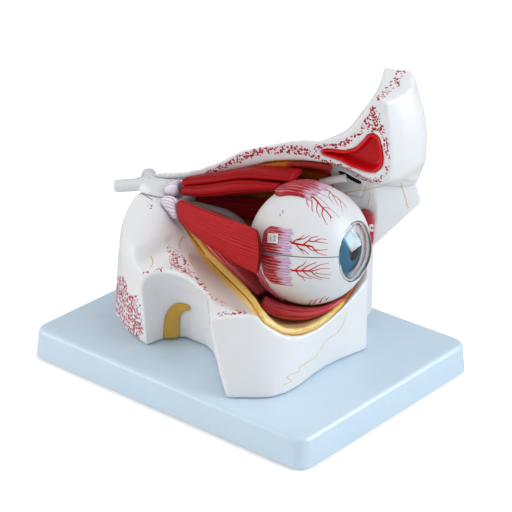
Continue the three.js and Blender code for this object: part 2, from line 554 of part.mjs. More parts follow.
const MUSCLES = {
  lateral_rectus: {
    strands: 6, across: 15, along: 10,
    stations: [
      { at: [-44.8, -12.9, 95.5], width: 15, thick: 5, side: [0.05, -0.1, 1] },
      { at: [-25, -17, 93.7], width: 21.4, thick: 6, side: [0.05, -0.05, 1] },
      { at: [0, -22.5, 94.5], width: 24.8, thick: 6, camber: 0.4, side: [0.02, 0, 1] },
      { at: [19, -28.4, 97.3], width: 26.8, thick: 5, camber: 1.5, side: [0, 0.05, 1] },
      { at: [34.5, -31.5, 98.8], width: 27.5, thick: 3.6, camber: 2.2, side: [-0.05, 0.08, 1] },
    ],
  },
  levator_palpebrae: {
    strands: 5, across: 12, along: 10,
    stations: [
      { at: [-51.6, 0.8, 106.8], width: 9.5, thick: 4.2, side: [0, 1, 0] },
      { at: [-30, 6, 114.5], width: 14, thick: 4, side: [0, 1, 0.05] },
      { at: [-8, 14, 121.5], width: 18, thick: 4.2, side: [0, 1, 0.02] },
      { at: [17.2, 22.5, 124.3], width: 20, thick: 3.8, side: [0, 1, 0] },
    ],
  },
  superior_rectus: {
    strands: 4, across: 12, along: 11,
    stations: [
      { at: [-49.6, -2.6, 102.5], width: 9.5, thick: 5.4, side: [0, 1, -0.1] },
      { at: [-30, 0, 108.5], width: 12, thick: 6.5, side: [0, 1, -0.15] },
      { at: [-8, 5, 116], width: 13, thick: 6.8, side: [0, 1, -0.25] },
      { at: [15.4, 10.5, 120], width: 13, thick: 4.6, side: [0, 1, -0.25] },
    ],
  },
  medial_rectus: {
    strands: 4, across: 10, along: 9,
    stations: [
      { at: [-48, 5, 95.6], width: 9, thick: 4, side: [0, 0.05, -1] },
      { at: [-28, 18, 95.5], width: 18, thick: 5, side: [0, 0.05, -1] },
      { at: [-6, 31, 94.5], width: 22, thick: 5, camber: 0.5, side: [0, 0.05, -1] },
      { at: [12, 40.5, 93], width: 23, thick: 3.6, camber: 1.8, side: [0, 0.05, -1] },
    ],
  },
  inferior_rectus: {
    strands: 4, across: 10, along: 10,
    stations: [
      { at: [-48, -3, 88], width: 9, thick: 4, side: [0, -1, 0.15] },
      { at: [-28, -6.3, 80], width: 13, thick: 5, side: [0, -1, 0.2] },
      { at: [-4, -8.6, 69.2], width: 17, thick: 5.4, side: [0, -1, 0.25] },
      { at: [20, -7.5, 57], width: 20, thick: 4, side: [0, -1, 0.3], camber: -1.2 },
    ],
  },
  inferior_oblique: {
    strands: 3, across: 10, along: 12,
    stations: [
      { at: [27.5, -17.5, 60], width: 14, thick: 7.6, side: [-0.35, -0.75, 0.55] },
      { at: [38, -13.6, 53.6], width: 14, thick: 7.2, side: [-0.1, -0.9, 0.4] },
      { at: [49.5, -6.8, 52.6], width: 12.5, thick: 6.4, side: [0.35, -0.85, 0.35] },
      { at: [57.2, 3, 54.8], width: 9.5, thick: 3.6, side: [0.6, -0.7, 0.3] },
      { at: [61.2, 13.5, 58.9], width: 6, thick: 1.6, side: [0.75, -0.5, 0.4] },
    ],
  },
  superior_oblique: {
    strands: 3, across: 8, along: 9,
    stations: [
      { at: [-44, 9.6, 103.2], width: 5.5, thick: 2.6, side: [0, 0.6, -0.8] },
      { at: [-24, 24.4, 108.6], width: 8.5, thick: 3.8, side: [0, 0.6, -0.8] },
      { at: [-4, 32.6, 113.6], width: 9, thick: 4, side: [0, 0.6, -0.8] },
      { at: [18.6, 39.4, 113.4], width: 5.5, thick: 3.4, side: [0, 0.6, -0.8] },
    ],
  },
};

function makeMuscles() {
  for (const [name, form] of Object.entries(MUSCLES)) {
    addMesh(name, belly(form), material('muscle', 0.3));
  }
}

function tube(points, radius, segments, sides = 7) {
  const path = throughPoints(points.map(toVector));
  const shape = new THREE.Shape();
  shape.absarc(0, 0, radius, 0, 2 * Math.PI);
  return new THREE.ExtrudeGeometry(shape, { steps: segments, bevelEnabled: false, extrudePath: path, curveSegments: sides });
}

// Nerves, tendons and the small parts at the apex and the inner corner

const TENDONS = {
  tendon_ring_upper: { across: 8, along: 5, strands: 3, groove: 0.5, stations: [
    { at: [-62.8, -4.2, 102], width: 9, thick: 6.6, side: [0, 1, 0.2] },
    { at: [-58.8, -3.4, 103.2], width: 11, thick: 9, side: [0, 1, 0] },
    { at: [-54, -2.2, 104.4], width: 11, thick: 9.4, side: [0, 1, -0.1] },
  ] },
  tendon_ring_lower: { across: 8, along: 5, strands: 3, groove: 0.5, stations: [
    { at: [-60, -11.6, 93.6], width: 11, thick: 4, side: [0.1, -0.1, 1] },
    { at: [-54, -12.1, 94.6], width: 15, thick: 5, side: [0.05, -0.1, 1] },
    { at: [-46.7, -12.7, 95.4], width: 15, thick: 5.2, side: [0.05, -0.1, 1] },
  ] },
};

const tendonSeats = () => Object.values(TENDONS).map((form) => solid(belly(form, GAP + 0.2)));

// Tendon that runs to its pulley at the roof's inner corner
function tendonRod(room = 0) {
  return solid(tube([[21.8, 40.8, 114.7], [29, 43.6, 117.4], [36.5, 48, 119.6]], 2.5 + room, 6));
}

function makeTendons() {
  for (const [name, form] of Object.entries(TENDONS)) {
    addMesh(name, belly(form), material('tendon', 0.35));
  }
}

function makeNerves() {
  const axis = eyeAxis();
  const centre = toVector(EYE.centre);
  const behind = (d) => centre.clone().addScaledVector(axis, -d).toArray();
  const nerve = tube([[-47, -3, 95.2], [-34, -0.8, 95.6], [-20, 2, 94.8], [-11, 3.4, 91.6], behind(EYE.radius + 7.2),
    behind(EYE.radius + 2.6)], 4, 16);
  addMesh('optic_nerve', nerve, material('nerveGrey', 0.35));

  const trunk = solid(tube([[-97, -16.2, 97.9], [-88, -11.5, 99.5], [-77, -5, 101.5], [-66, -2, 102]], 4.2, 9));
  const cross = solid(tube([[-76, -4, 101.5], [-83, 1, 101.5], [-88.5, 5.5, 101.2]], 5, 6));
  const body = solid(loft([
    columnRing([[-88, -9], [-76, -13], [-62, -10], [-56, 0], [-60, 8], [-82, 4]], 97.6),
    columnRing([[-87, -8], [-76, -11], [-64, -8], [-60, 0], [-63, 7], [-82, 4]], 102),
    columnRing([[-84, -6], [-77, -8], [-68, -5], [-66, 0], [-68, 4], [-80, 2]], 105.4),
  ]));
  const chiasm = cutBy(joined(trunk, cross, body), column(GAP + 0.1), ...tendonSeats(), ...frontalSeats());
  addMesh('optic_chiasm', geometryOf(chiasm), material('nerve', 0.3));
  addMesh('superior_oblique_tendon', geometryOf(tendonRod()), material('nerve', 0.3));
  addMesh('maxillary_nerve', geometryOf(maxillaryNerve()), material('yellowNerve', 0.3));
}

// Flat nerve that climbs the niche's rear corner and turns forwards
function maxillaryNerve(room = 0) {
  return solid(belly({ across: 6, along: 9, stations: [
    { at: [-31.5, -36.5, BASE.height + 1 - room], width: 10.6, thick: 3.2, side: [0.6, 0.8, 0] },
    { at: [-31.6, -36.2, 28], width: 10, thick: 3.2, side: [0.6, 0.8, 0] },
    { at: [-31, -35.3, 36], width: 9, thick: 3, side: [0.65, 0.75, 0.2] },
    { at: [-27.6, -33.4, 41.6], width: 7, thick: 2.6, side: [0.5, 0.25, -0.7] },
    { at: [-20.6, -31.6, 43.6], width: 3.4, thick: 1.8, side: [0.1, 0.2, -1] },
  ] }, room));
}

function eyeAxis() {
  const yaw = radians(EYE.yaw);
  const pitch = radians(EYE.pitch);
  return vec(Math.cos(yaw) * Math.cos(pitch), Math.sin(yaw) * Math.cos(pitch), Math.sin(pitch));
}

// Eyeball: nested shells in the eye's own frame, +X along its axis and +Z square to the split

const eye = new THREE.Group();
{
  const forward = eyeAxis();
  const inward = vec(0, 0, 1).cross(forward).normalize();
  const up = forward.clone().cross(inward);
  const turn = radians(EYE.roll);
  const across = inward.clone().multiplyScalar(Math.cos(turn)).addScaledVector(up, -Math.sin(turn));
  const normal = up.clone().multiplyScalar(Math.cos(turn)).addScaledVector(inward, Math.sin(turn));
  eye.quaternion.setFromRotationMatrix(new THREE.Matrix4().makeBasis(forward, across, normal));
  eye.position.copy(toVector(EYE.centre));
}
group.add(eye);

const SCLERA_INNER = EYE.radius - EYE.scleraWall;
const CHOROID_OUTER = SCLERA_INNER - SHELL_GAP;
const CHOROID_INNER = CHOROID_OUTER - EYE.choroidWall;

// Body turned about the eye's axis from [radius, distance forwards] pairs
function turnedAboutAxis(profile, segments) {
  const geometry = turned(profile, segments);
  geometry.rotateY(Math.PI / 2);
  return geometry;
}

function arcPoints(radius, from, to, steps, middle = 0) {
  const points = [];
  for (let i = 0; i <= steps; i++) {
    const angle = radians(from + ((to - from) * i) / steps);
    points.push([radius * Math.sin(angle), middle + radius * Math.cos(angle)]);
  }
  return points;
}

function halfSpace(side, gap) {
  return boxSolid(120, 120, 60, 0, 0, side * (30 + gap / 2));
}

const pinPlaces = [-1, 1].map((s) => {
  const angle = radians(PIN.angle);
  const radius = EYE.radius - EYE.scleraWall / 2;
  return [radius * Math.cos(angle), s * radius * Math.sin(angle)];
});

function pinHole(x, y, radius) {
  const geometry = new THREE.CylinderGeometry(radius, radius, PIN.length + 2 * GAP, 10);
  geometry.rotateX(Math.PI / 2);
  geometry.translate(x, y, 0);
  return solid(geometry);
}

function makeEyeball() {
  const segments = 32;
  const rear = 180 - THREE.MathUtils.radToDeg(Math.asin(EYE.nerveHole / EYE.radius));
  const sclera = solid(turnedAboutAxis([
    ...arcPoints(EYE.radius, EYE.limbusAngle, rear, 11), ...arcPoints(SCLERA_INNER, rear, EYE.limbusAngle, 12),
  ], segments));
  const holes = pinPlaces.map(([x, y]) => pinHole(x, y, PIN.radius + GAP));
  const halves = { sclera_upper_half: 1, sclera_lower_half: -1 };
  for (const [name, side] of Object.entries(halves)) {
    const half = cutBy(sclera.intersect(halfSpace(side, EYE.splitGap)), ...holes);
    addMesh(name, geometryOf(half), material('sclera', 0.22), eye);
  }
  pinPlaces.forEach(([x, y], i) => {
    const geometry = new THREE.CylinderGeometry(PIN.radius, PIN.radius, PIN.length, 10);
    geometry.rotateX(Math.PI / 2);
    addMesh(`sclera_pin_${i + 1}`, geometry, material('steel', 0.35, 0.8), eye).position.set(x, y, 0);
  });

  const frontAngle = THREE.MathUtils.radToDeg(Math.acos(CILIARY.front / CHOROID_OUTER));
  const innerAngle = THREE.MathUtils.radToDeg(Math.acos(CILIARY.back / CHOROID_INNER));
  const choroid = solid(turnedAboutAxis([
    ...arcPoints(CHOROID_OUTER, frontAngle, 180, 11), ...arcPoints(CHOROID_INNER, 180, innerAngle, 9),
    [CILIARY.bore, CILIARY.back], [CILIARY.bore, CILIARY.front],
  ], segments));
  addMesh('choroid_upper_half', geometryOf(choroid.intersect(halfSpace(1, EYE.splitGap))), material('choroid', 0.4), eye);
  addMesh('choroid_lower_half', geometryOf(choroid.intersect(halfSpace(-1, EYE.splitGap))), material('choroid', 0.4), eye);

  addMesh('iris', turnedAboutAxis([
    [IRIS.outer, IRIS.back], [IRIS.outer, IRIS.back + IRIS.wall], [13, IRIS.back + IRIS.wall + 0.1],
    [9, IRIS.back + IRIS.wall + IRIS.bulge * 0.7], [IRIS.pupil, IRIS.back + IRIS.wall + IRIS.bulge],
    [IRIS.pupil, IRIS.back + IRIS.bulge], [9, IRIS.back + IRIS.bulge * 0.7], [13, IRIS.back + 0.1],
  ], 32), material('iris', 0.3), eye);

  makeCornea();
  makeLensAndVitreous();
  const stump = new THREE.CylinderGeometry(EYE.nerveHole - 0.4, EYE.nerveHole - 0.9, 5, 20);
  stump.rotateZ(-Math.PI / 2);
  stump.translate(-(CHOROID_OUTER + GAP + 2.5), 0, 0);
  addMesh('optic_nerve_stump', stump, material('nerveGrey', 0.35), eye);
}

function makeCornea() {
  const edgeRadius = EYE.radius * Math.sin(radians(EYE.limbusAngle)) - 0.35;
  const edgeHeight = EYE.radius * Math.cos(radians(EYE.limbusAngle)) + 0.15;
  const dome = (radius, height, apex, steps) => {
    const sag = apex - height;
    const curve = (radius * radius + sag * sag) / (2 * sag);
    const half = THREE.MathUtils.radToDeg(Math.asin(radius / curve));
    return arcPoints(curve, half, 0, steps, apex - curve);
  };
  const innerRadius = edgeRadius - 2;
  const outer = dome(edgeRadius, edgeHeight, CORNEA.apex, 5);
  const inner = dome(innerRadius, edgeHeight - 0.6, CORNEA.apex - CORNEA.wall, 4).reverse();
  addMesh('cornea', turnedAboutAxis([[edgeRadius - 0.9, CORNEA.seat], ...outer, ...inner,
    [innerRadius, CORNEA.seat]], 32), material('cornea', 0.05), eye);
}

function lensProfile(extra) {
  const { radius, middle, frontCurve, backCurve } = LENS;
  const r = radius + extra;
  const face = (curve, direction) => {
    const R = curve + extra;
    const half = THREE.MathUtils.radToDeg(Math.asin(r / R));
    const centre = middle - direction * R * Math.cos(radians(half));
    return direction > 0 ? arcPoints(R, half, 0, 5, centre) : arcPoints(R, 180, 180 - half, 6, centre);
  };
  return [...face(frontCurve, 1), ...face(backCurve, -1)];
}

function makeLensAndVitreous() {
  addMesh('lens', turnedAboutAxis(lensProfile(0), 28), material('lens', 0.05), eye);
  const radius = CHOROID_INNER - VITREOUS.play;
  const ball = new THREE.SphereGeometry(radius, 22, 12);
  ball.rotateZ(-Math.PI / 2);
  const front = boxSolid(40, 80, 80, VITREOUS.flat + 20, 0, 0);
  const dish = solid(turnedAboutAxis(lensProfile(VITREOUS.dishClearance), 28));
  addMesh('vitreous_body', geometryOf(cutBy(solid(ball), front, dish)), material('vitreous', 0.05), eye);
}

// Muscle ends on the eyeball: low pads that follow the sphere and thin out forwards.
// pole turns the pad about the eye's axis: 0 is the outer side, 90 the top.
const INSERTIONS = {
  lateral_insertion_upper: { pole: 0, rear: 107, front: 79, low: 1, high: 24 },
  lateral_insertion_lower: { pole: 0, rear: 107, front: 79, low: -30, high: -1 },
  superior_insertion: { pole: 90, rear: 118, front: 84, low: -26, high: 9 },
  medial_insertion_upper: { pole: 180, rear: 107, front: 82, low: -30, high: -1.2 },
  medial_insertion_lower: { pole: 180, rear: 107, front: 82, low: 1.2, high: 30 },
  inferior_insertion: { pole: 270, rear: 128, front: 112, low: -14, high: 14 },
};

function makeInsertions() {
  const base = EYE.radius + GAP;
  for (const [name, { pole, rear, front, low, high }] of Object.entries(INSERTIONS)) {
    const rings = [];
    for (let k = 0; k <= 5; k++) {
      const share = k / 5;
      const along = radians(rear + (front - rear) * share);
      const thick = 1.1 - 0.75 * share ** 2;
      const outer = [];
      const inner = [];
      for (let i = 0; i <= 6; i++) {
        const across = radians(low + ((high - low) * i) / 6);
        const turn = radians(pole);
        const away = vec(0, -Math.cos(turn), Math.sin(turn));
        const beside = vec(0, Math.sin(turn), Math.cos(turn));
        const direction = vec(Math.cos(along) * Math.cos(across), 0, 0)
          .addScaledVector(away, Math.sin(along) * Math.cos(across)).addScaledVector(beside, Math.sin(across));
        const edge = i === 0 || i === 6 ? 0.5 : 1;
        outer.push(direction.clone().multiplyScalar(base + thick * edge));
        inner.push(direction.clone().multiplyScalar(base));
      }
      rings.push([...outer, ...inner.reverse()]);
    }
    addMesh(name, loft(rings), material('muscle', 0.3), eye);
  }
}

function sacBody(room = 0) {
  const grown = (points, z) => {
    const middle = points.reduce(([x, y], p) => [x + p[0] / points.length, y + p[1] / points.length], [0, 0]);
    return columnRing(points.map(([x, y]) => {
      const away = new THREE.Vector2(x - middle[0], y - middle[1]);
      away.setLength(away.length() + room);
      return [middle[0] + away.x, middle[1] + away.y];
    }), z);
  };
  return solid(loft([
    grown([[44, 54], [49, 51.6], [53, 51.5], [54, 53.4], [50, 56], [45, 57]], 79 - room),
    grown([[41.5, 55], [47, 52.2], [52.6, 51.8], [54.2, 53.6], [50, 56.6], [43, 58]], 89),
    grown([[41.5, 55.6], [46, 53], [51, 52.4], [52.8, 54.2], [48, 57], [43, 58]], 98 + room),
  ]));
}

makeBase();
makeOrbitBone();
makeFrontalBone();
makeLining();
makeMuscles();
makeTendons();
makeNerves();
makeEyeball();
makeInsertions();
addMesh('lacrimal_sac', geometryOf(sacBody()), material('gland', 0.2));

export default group;
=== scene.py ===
"""Looks of a three-times life-size eye anatomy model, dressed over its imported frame."""

from __future__ import annotations

import logging
import math
from dataclasses import dataclass, field
from enum import Enum
from typing import Callable, Iterable, Sequence

import bmesh
import bpy
import numpy as np
from mathutils import Matrix, Vector
from mathutils.bvhtree import BVHTree
from mathutils.kdtree import KDTree

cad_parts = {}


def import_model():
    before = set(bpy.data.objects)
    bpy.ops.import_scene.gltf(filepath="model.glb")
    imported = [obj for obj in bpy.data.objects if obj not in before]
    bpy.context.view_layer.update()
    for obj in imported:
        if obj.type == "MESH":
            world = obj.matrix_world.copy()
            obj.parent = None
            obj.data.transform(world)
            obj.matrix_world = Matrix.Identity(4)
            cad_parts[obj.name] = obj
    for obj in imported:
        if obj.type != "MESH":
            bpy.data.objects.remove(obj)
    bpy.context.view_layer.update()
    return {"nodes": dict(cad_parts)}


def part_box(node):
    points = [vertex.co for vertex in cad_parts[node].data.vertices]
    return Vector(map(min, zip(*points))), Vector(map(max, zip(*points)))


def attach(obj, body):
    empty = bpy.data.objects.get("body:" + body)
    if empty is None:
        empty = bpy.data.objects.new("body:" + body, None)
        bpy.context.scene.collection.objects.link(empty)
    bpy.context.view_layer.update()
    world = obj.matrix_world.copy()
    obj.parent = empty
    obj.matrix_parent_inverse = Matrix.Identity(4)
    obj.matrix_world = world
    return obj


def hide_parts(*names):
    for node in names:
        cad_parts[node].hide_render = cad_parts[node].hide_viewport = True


log = logging.getLogger("eye_model")

MM = 0.001

Pixel = tuple[float, float]
Pair = tuple[float, float]
Triple = tuple[float, float, float]
Colour = tuple[float, float, float, float]
Line = list[tuple[Vector, float]]
Routes = tuple[list[Pixel], ...]
Piece = bpy.types.Object
Tree = bpy.types.NodeTree
Socket = bpy.types.NodeSocket


class Body(Enum):
    """CAD bodies that the pieces ride on."""

    STAND = "stand"
    EYEBALL = "eyeball"
    SCLERA_TOP = "sclera_top"
    CHOROID_TOP = "choroid_top"
    CHOROID_BOTTOM = "choroid_bottom"
    VITREOUS = "vitreous"
    LENS = "lens"


class Slot(Enum):
    """Names of the material slots."""

    BASE = "base_blue"
    RUBBER = "rubber"
    STEEL = "screw_steel"
    BONE = "bone"
    SINUS = "sinus_red"
    LINING = "lining_ochre"
    MUSCLE = "muscle_red"
    TENDON = "tendon_lilac"
    NERVE = "nerve_white"
    NERVE_GREY = "nerve_grey"
    SCLERA = "sclera_white"
    CHOROID = "choroid_brown"
    CORNEA = "cornea_clear"
    IRIS = "iris_blue"
    LENS = "lens_clear"
    VITREOUS = "vitreous_clear"
    GLAND = "gland_red"
    NERVE_YELLOW = "nerve_yellow"


# Small helpers


def linear(code: str) -> Colour:
    """Turns an sRGB hex colour such as "#BFD3E0" into linear RGBA.

    Args:
        code: The colour as a hex code.

    Returns:
        Its red, green, blue and alpha.
    """
    parts = [int(code[i : i + 2], 16) / 255 for i in (1, 3, 5)]
    values = [c / 12.92 if c <= 0.04045 else ((c + 0.055) / 1.055) ** 2.4 for c in parts]
    return (*values, 1.0)


def add_node(tree: Tree, kind: str, inputs: dict | None = None, **settings) -> bpy.types.Node:
    """Adds a node with its settings and links.

    Args:
        tree: The node tree that gets the node.
        kind: The node's type, such as "Bump".
        inputs: A value or a linked socket for each input, by name or number.
        settings: The node's own properties.

    Returns:
        The new node.
    """
    node = tree.nodes.new(f"ShaderNode{kind}")
    for name, value in settings.items():
        setattr(node, name, value)
    for name, value in (inputs or {}).items():
        if isinstance(value, Socket):
            tree.links.new(value, node.inputs[name])
        else:
            node.inputs[name].default_value = value
    return node


def only(obj: Piece) -> None:
    """Selects one object alone and makes it the active one.

    Args:
        obj: The object.
    """
    bpy.ops.object.select_all(action="DESELECT")
    obj.select_set(True)
    bpy.context.view_layer.objects.active = obj


def apply_modifier(obj: Piece, kind: str, **settings) -> None:
    """Adds a modifier with its settings and applies it.

    Args:
        obj: The object.
        kind: The modifier's type, such as "REMESH".
        settings: The modifier's own properties.
    """
    only(obj)
    modifier = obj.modifiers.new(kind.title(), kind)
    for name, value in settings.items():
        setattr(modifier, name, value)
    bpy.ops.object.modifier_apply(modifier=modifier.name)


def positions(obj: Piece) -> np.ndarray:
    """Vertex places of a mesh as an array of rows.

    Args:
        obj: The object.

    Returns:
        One row a vertex, in metres.
    """
    flat = np.empty(len(obj.data.vertices) * 3)
    obj.data.vertices.foreach_get("co", flat)
    return flat.reshape(-1, 3)


def vertex_normals(obj: Piece) -> np.ndarray:
    """Vertex normals of a mesh as an array of rows.

    Args:
        obj: The object.

    Returns:
        One row a vertex.
    """
    flat = np.empty(len(obj.data.vertices) * 3, dtype=np.float32)
    obj.data.vertex_normals.foreach_get("vector", flat)
    return flat.reshape(-1, 3)


def set_positions(obj: Piece, places: np.ndarray) -> None:
    """Moves a mesh's vertices to the given rows."""
    obj.data.vertices.foreach_set("co", np.ascontiguousarray(places, dtype=np.float32).ravel())
    obj.data.update()


def set_attribute(obj: Piece, name: str, values: np.ndarray) -> None:
    """Stores one number a vertex under a name that materials read."""
    layer = obj.data.attributes.get(name) or obj.data.attributes.new(name, "FLOAT", "POINT")
    layer.data.foreach_set("value", np.ascontiguousarray(values, dtype=np.float32))


def merged_copy(node: Piece, name: str) -> Piece:
    """Copies a CAD node's mesh into a new object and welds its loose triangles.

    Args:
        node: The CAD node.
        name: The copy's name.

    Returns:
        The copy, without materials.
    """
    obj = bpy.data.objects.new(name, node.data.copy())
    bpy.context.scene.collection.objects.link(obj)
    obj.data.materials.clear()
    only(obj)
    bpy.ops.object.mode_set(mode="EDIT")
    bpy.ops.mesh.select_all(action="SELECT")
    bpy.ops.mesh.remove_doubles(threshold=0.01 * MM)
    bpy.ops.object.mode_set(mode="OBJECT")
    bpy.ops.mesh.customdata_custom_splitnormals_clear()
    return obj


def recalculate(obj: Piece) -> None:
    """Turns all faces of a closed mesh outwards.

    Args:
        obj: The object.
    """
    only(obj)
    bpy.ops.object.mode_set(mode="EDIT")
    bpy.ops.mesh.select_all(action="SELECT")
    bpy.ops.mesh.normals_make_consistent(inside=False)
    bpy.ops.object.mode_set(mode="OBJECT")


def smooth_shading(obj: Piece, sharp_above: float | None = None) -> None:
    """Shades a mesh smooth, but for edges sharper than an angle in degrees.

    Args:
        obj: The object.
        sharp_above: The angle, or None to smooth every edge.
    """
    only(obj)
    if sharp_above is None:
        bpy.ops.object.shade_smooth()
    else:
        bpy.ops.object.shade_smooth_by_angle(angle=math.radians(sharp_above))


def select_faces(obj: Piece, test: Callable[[bpy.types.MeshPolygon], bool]) -> None:
    """Selects only the faces that pass a test, and ends in edit mode.

    Args:
        obj: The active object.
        test: Says whether a face is selected.
    """
    bpy.ops.object.mode_set(mode="EDIT")
    bpy.ops.mesh.select_mode(type="FACE")
    bpy.ops.mesh.select_all(action="DESELECT")
    bpy.ops.object.mode_set(mode="OBJECT")
    for face in obj.data.polygons:
        face.select = test(face)
    bpy.ops.object.mode_set(mode="EDIT")


def select_edges(obj: Piece, test: Callable[[Vector, Vector], bool]) -> None:
    """Selects only the edges whose ends pass a test, and ends in edit mode.

    Args:
        obj: The active object.
        test: Says whether an edge is selected, from its ends.
    """
    bpy.ops.object.mode_set(mode="EDIT")
    bpy.ops.mesh.select_mode(type="EDGE")
    bpy.ops.mesh.select_all(action="DESELECT")
    bpy.ops.object.mode_set(mode="OBJECT")
    vertices = obj.data.vertices
    for edge in obj.data.edges:
        first, second = edge.vertices
        edge.select = test(vertices[first].co, vertices[second].co)
    bpy.ops.object.mode_set(mode="EDIT")


class Spline:
    """Smooth line through its points, read at a share from 0 to 1."""

    def __init__(self, points: Sequence[Sequence[float]]) -> None:
        """Keeps the points as rows."""
        self.points = np.array(points, float)

    def at(self, share: float) -> np.ndarray:
        """Place at a share of the points' run.

        Args:
            share: The share, which is kept from 0 to 1.

        Returns:
            The place.
        """
        points = self.points
        last = len(points) - 1
        along = min(max(share, 0.0), 1.0) * last
        i = min(int(along), last - 1)
        w = along - i
        start, end = points[i], points[i + 1]
        before = points[i - 1] if i > 0 else 2 * start - end
        after = points[i + 2] if i + 2 <= last else 2 * end - start
        lead, trail = (end - before) / 2, (after - start) / 2
        return (
            (2 * w**3 - 3 * w**2 + 1) * start
            + (w**3 - 2 * w**2 + w) * lead
            + (3 * w**2 - 2 * w**3) * end
            + (w**3 - w**2) * trail
        )

    def tangent(self, share: float) -> np.ndarray:
        """Unit direction at a share of the run.

        Args:
            share: The share.

        Returns:
            The direction.
        """
        step = 0.002
        run = self.at(min(share + step, 1.0)) - self.at(max(share - step, 0.0))
        return run / np.linalg.norm(run)


# Camera at the photograph's viewpoint


@dataclass
class PhotoCamera:
    """The photograph's viewpoint, in metres, and its way from pixels to the object."""

    centre: Triple = (0.7189, -0.8340, 0.5900)
    right: Triple = (0.7599, 0.6500, 0.0)
    up: Triple = (-0.2761, 0.3228, 0.9053)
    back: Triple = (0.5885, -0.6880, 0.4248)
    focal_pixels: float = 1999.28
    image: int = 512
    sensor: float = 36.0

    def make(self) -> None:
        """Adds the camera and makes it the scene's own."""
        data = bpy.data.cameras.new("photo_camera")
        data.sensor_width = self.sensor
        data.lens = self.focal_pixels * self.sensor / self.image
        data.clip_start, data.clip_end = 0.05, 20.0
        camera = bpy.data.objects.new("photo_camera", data)
        bpy.context.scene.collection.objects.link(camera)
        turn = Matrix((self.right, self.up, self.back)).transposed()
        camera.matrix_world = Matrix.Translation(self.centre) @ turn.to_4x4()
        bpy.context.scene.camera = camera

    def ray(self, pixel: Pixel) -> Vector:
        """Unit direction from the camera through a pixel of the photograph.

        Args:
            pixel: The pixel.

        Returns:
            The direction.
        """
        half = self.image / 2
        x = (pixel[0] - half) / self.focal_pixels
        y = (half - pixel[1]) / self.focal_pixels
        return (Vector(self.right) * x + Vector(self.up) * y - Vector(self.back)).normalized()

    def pixels(self, places: np.ndarray) -> np.ndarray:
        """Pixels at which rows of places are seen.

        Args:
            places: The places, in metres.

        Returns:
            One row a place.
        """
        away = places - np.array(self.centre)
        depth = -(away @ np.array(self.back))
        half = self.image / 2
        x = half + self.focal_pixels * (away @ np.array(self.right)) / depth
        y = half - self.focal_pixels * (away @ np.array(self.up)) / depth
        return np.stack([x, y], axis=1)

    def on_ball(self, pixel: Pixel, middle: Vector, radius: float) -> Vector:
        """Near point of a ball that is seen at a pixel, or the nearest on its outline.

        Args:
            pixel: The pixel.
            middle: The ball's middle.
            radius: Its radius.

        Returns:
            The place, in metres.
        """
        start, ray = Vector(self.centre), self.ray(pixel)
        to_middle = middle - start
        along = to_middle.dot(ray)
        miss = (to_middle - ray * along).length
        if miss >= radius:
            return middle + (start + ray * along - middle).normalized() * radius
        return start + ray * (along - math.sqrt(radius**2 - miss**2))


CAMERA = PhotoCamera()


class Surface:
    """Skin of one or more meshes, found by rays from the camera."""

    def __init__(self, *objects: Piece) -> None:
        """Gathers the meshes' faces into one search tree.

        Args:
            objects: The meshes.
        """
        vertices: list[Vector] = []
        faces: list[tuple[int, ...]] = []
        for obj in objects:
            start = len(vertices)
            vertices += [v.co.copy() for v in obj.data.vertices]
            faces += [tuple(start + i for i in face.vertices) for face in obj.data.polygons]
        self.tree = BVHTree.FromPolygons(vertices, faces)

    def seen(self, pixel: Pixel) -> tuple[Vector, Vector] | None:
        """Place and normal that the camera sees at a pixel."""
        place, normal, _, _ = self.tree.ray_cast(Vector(CAMERA.centre), CAMERA.ray(pixel))
        return (place, normal) if place else None

    def hides(self, place: Vector) -> bool:
        """Says whether the skin stands between the camera and a place.

        Args:
            place: The place.

        Returns:
            Whether it is hidden.
        """
        to_camera = (Vector(CAMERA.centre) - place).normalized()
        hit = self.tree.ray_cast(place + to_camera * 0.8 * MM, to_camera)[0]
        return hit is not None


# Finishes


def shade(code: str, share: float) -> Colour:
    """Linear colour of a hex code made darker or lighter by a share."""
    red, green, blue, alpha = linear(code)
    return (red * share, green * share, blue * share, alpha)


def streaks(tree: Tree, ways: tuple[Socket, Socket], stretch: Pair, scale: float, detail: float) -> Socket:
    """Cloudy streaks that follow two numbers stored on a piece.

    Args:
        tree: The material's node tree.
        ways: The two stored numbers.
        stretch: How far each is drawn out.
        scale: How close the streaks lie.
        detail: How fine they are.

    Returns:
        The socket of their strength.
    """
    place = add_node(tree, "CombineXYZ", {0: ways[0], 1: ways[1]}).outputs[0]
    drawn = add_node(tree, "VectorMath", {0: place, 1: (*stretch, 1.0)}, operation="MULTIPLY")
    cloud = add_node(tree, "TexNoise", {"Vector": drawn.outputs[0], "Scale": scale, "Detail": detail})
    return cloud.outputs["Fac"]


def strand_lines(
    tree: Tree, across: Socket, strands: float, drift: Socket, start: float, end: float
) -> Socket:
    """Strands side by side across a piece, which wander with a drift.

    Args:
        tree: The material's node tree.
        across: The way across the piece.
        strands: Number of strands.
        drift: How far each place is moved aside.
        start: Where the gap between strands ends.
        end: Where the strand is full.

    Returns:
        The socket that is 0 in the gaps and 1 on the strands.
    """
    lane = add_node(tree, "Math", {0: across, 1: strands, 2: drift}, operation="MULTIPLY_ADD")
    wave = add_node(tree, "Math", {0: lane.outputs[0], 1: 1.0}, operation="PINGPONG")
    line = add_node(
        tree, "MapRange", {"Value": wave.outputs[0], "From Min": start, "From Max": end},
        interpolation_type="SMOOTHSTEP",
    )
    return line.outputs[0]


@dataclass
class Dress:
    """What a finish paints: a ground, coats over it by their shares, and its relief's height."""

    ground: Colour | Socket
    coats: list[tuple[Socket, Colour | Socket]]
    height: Socket


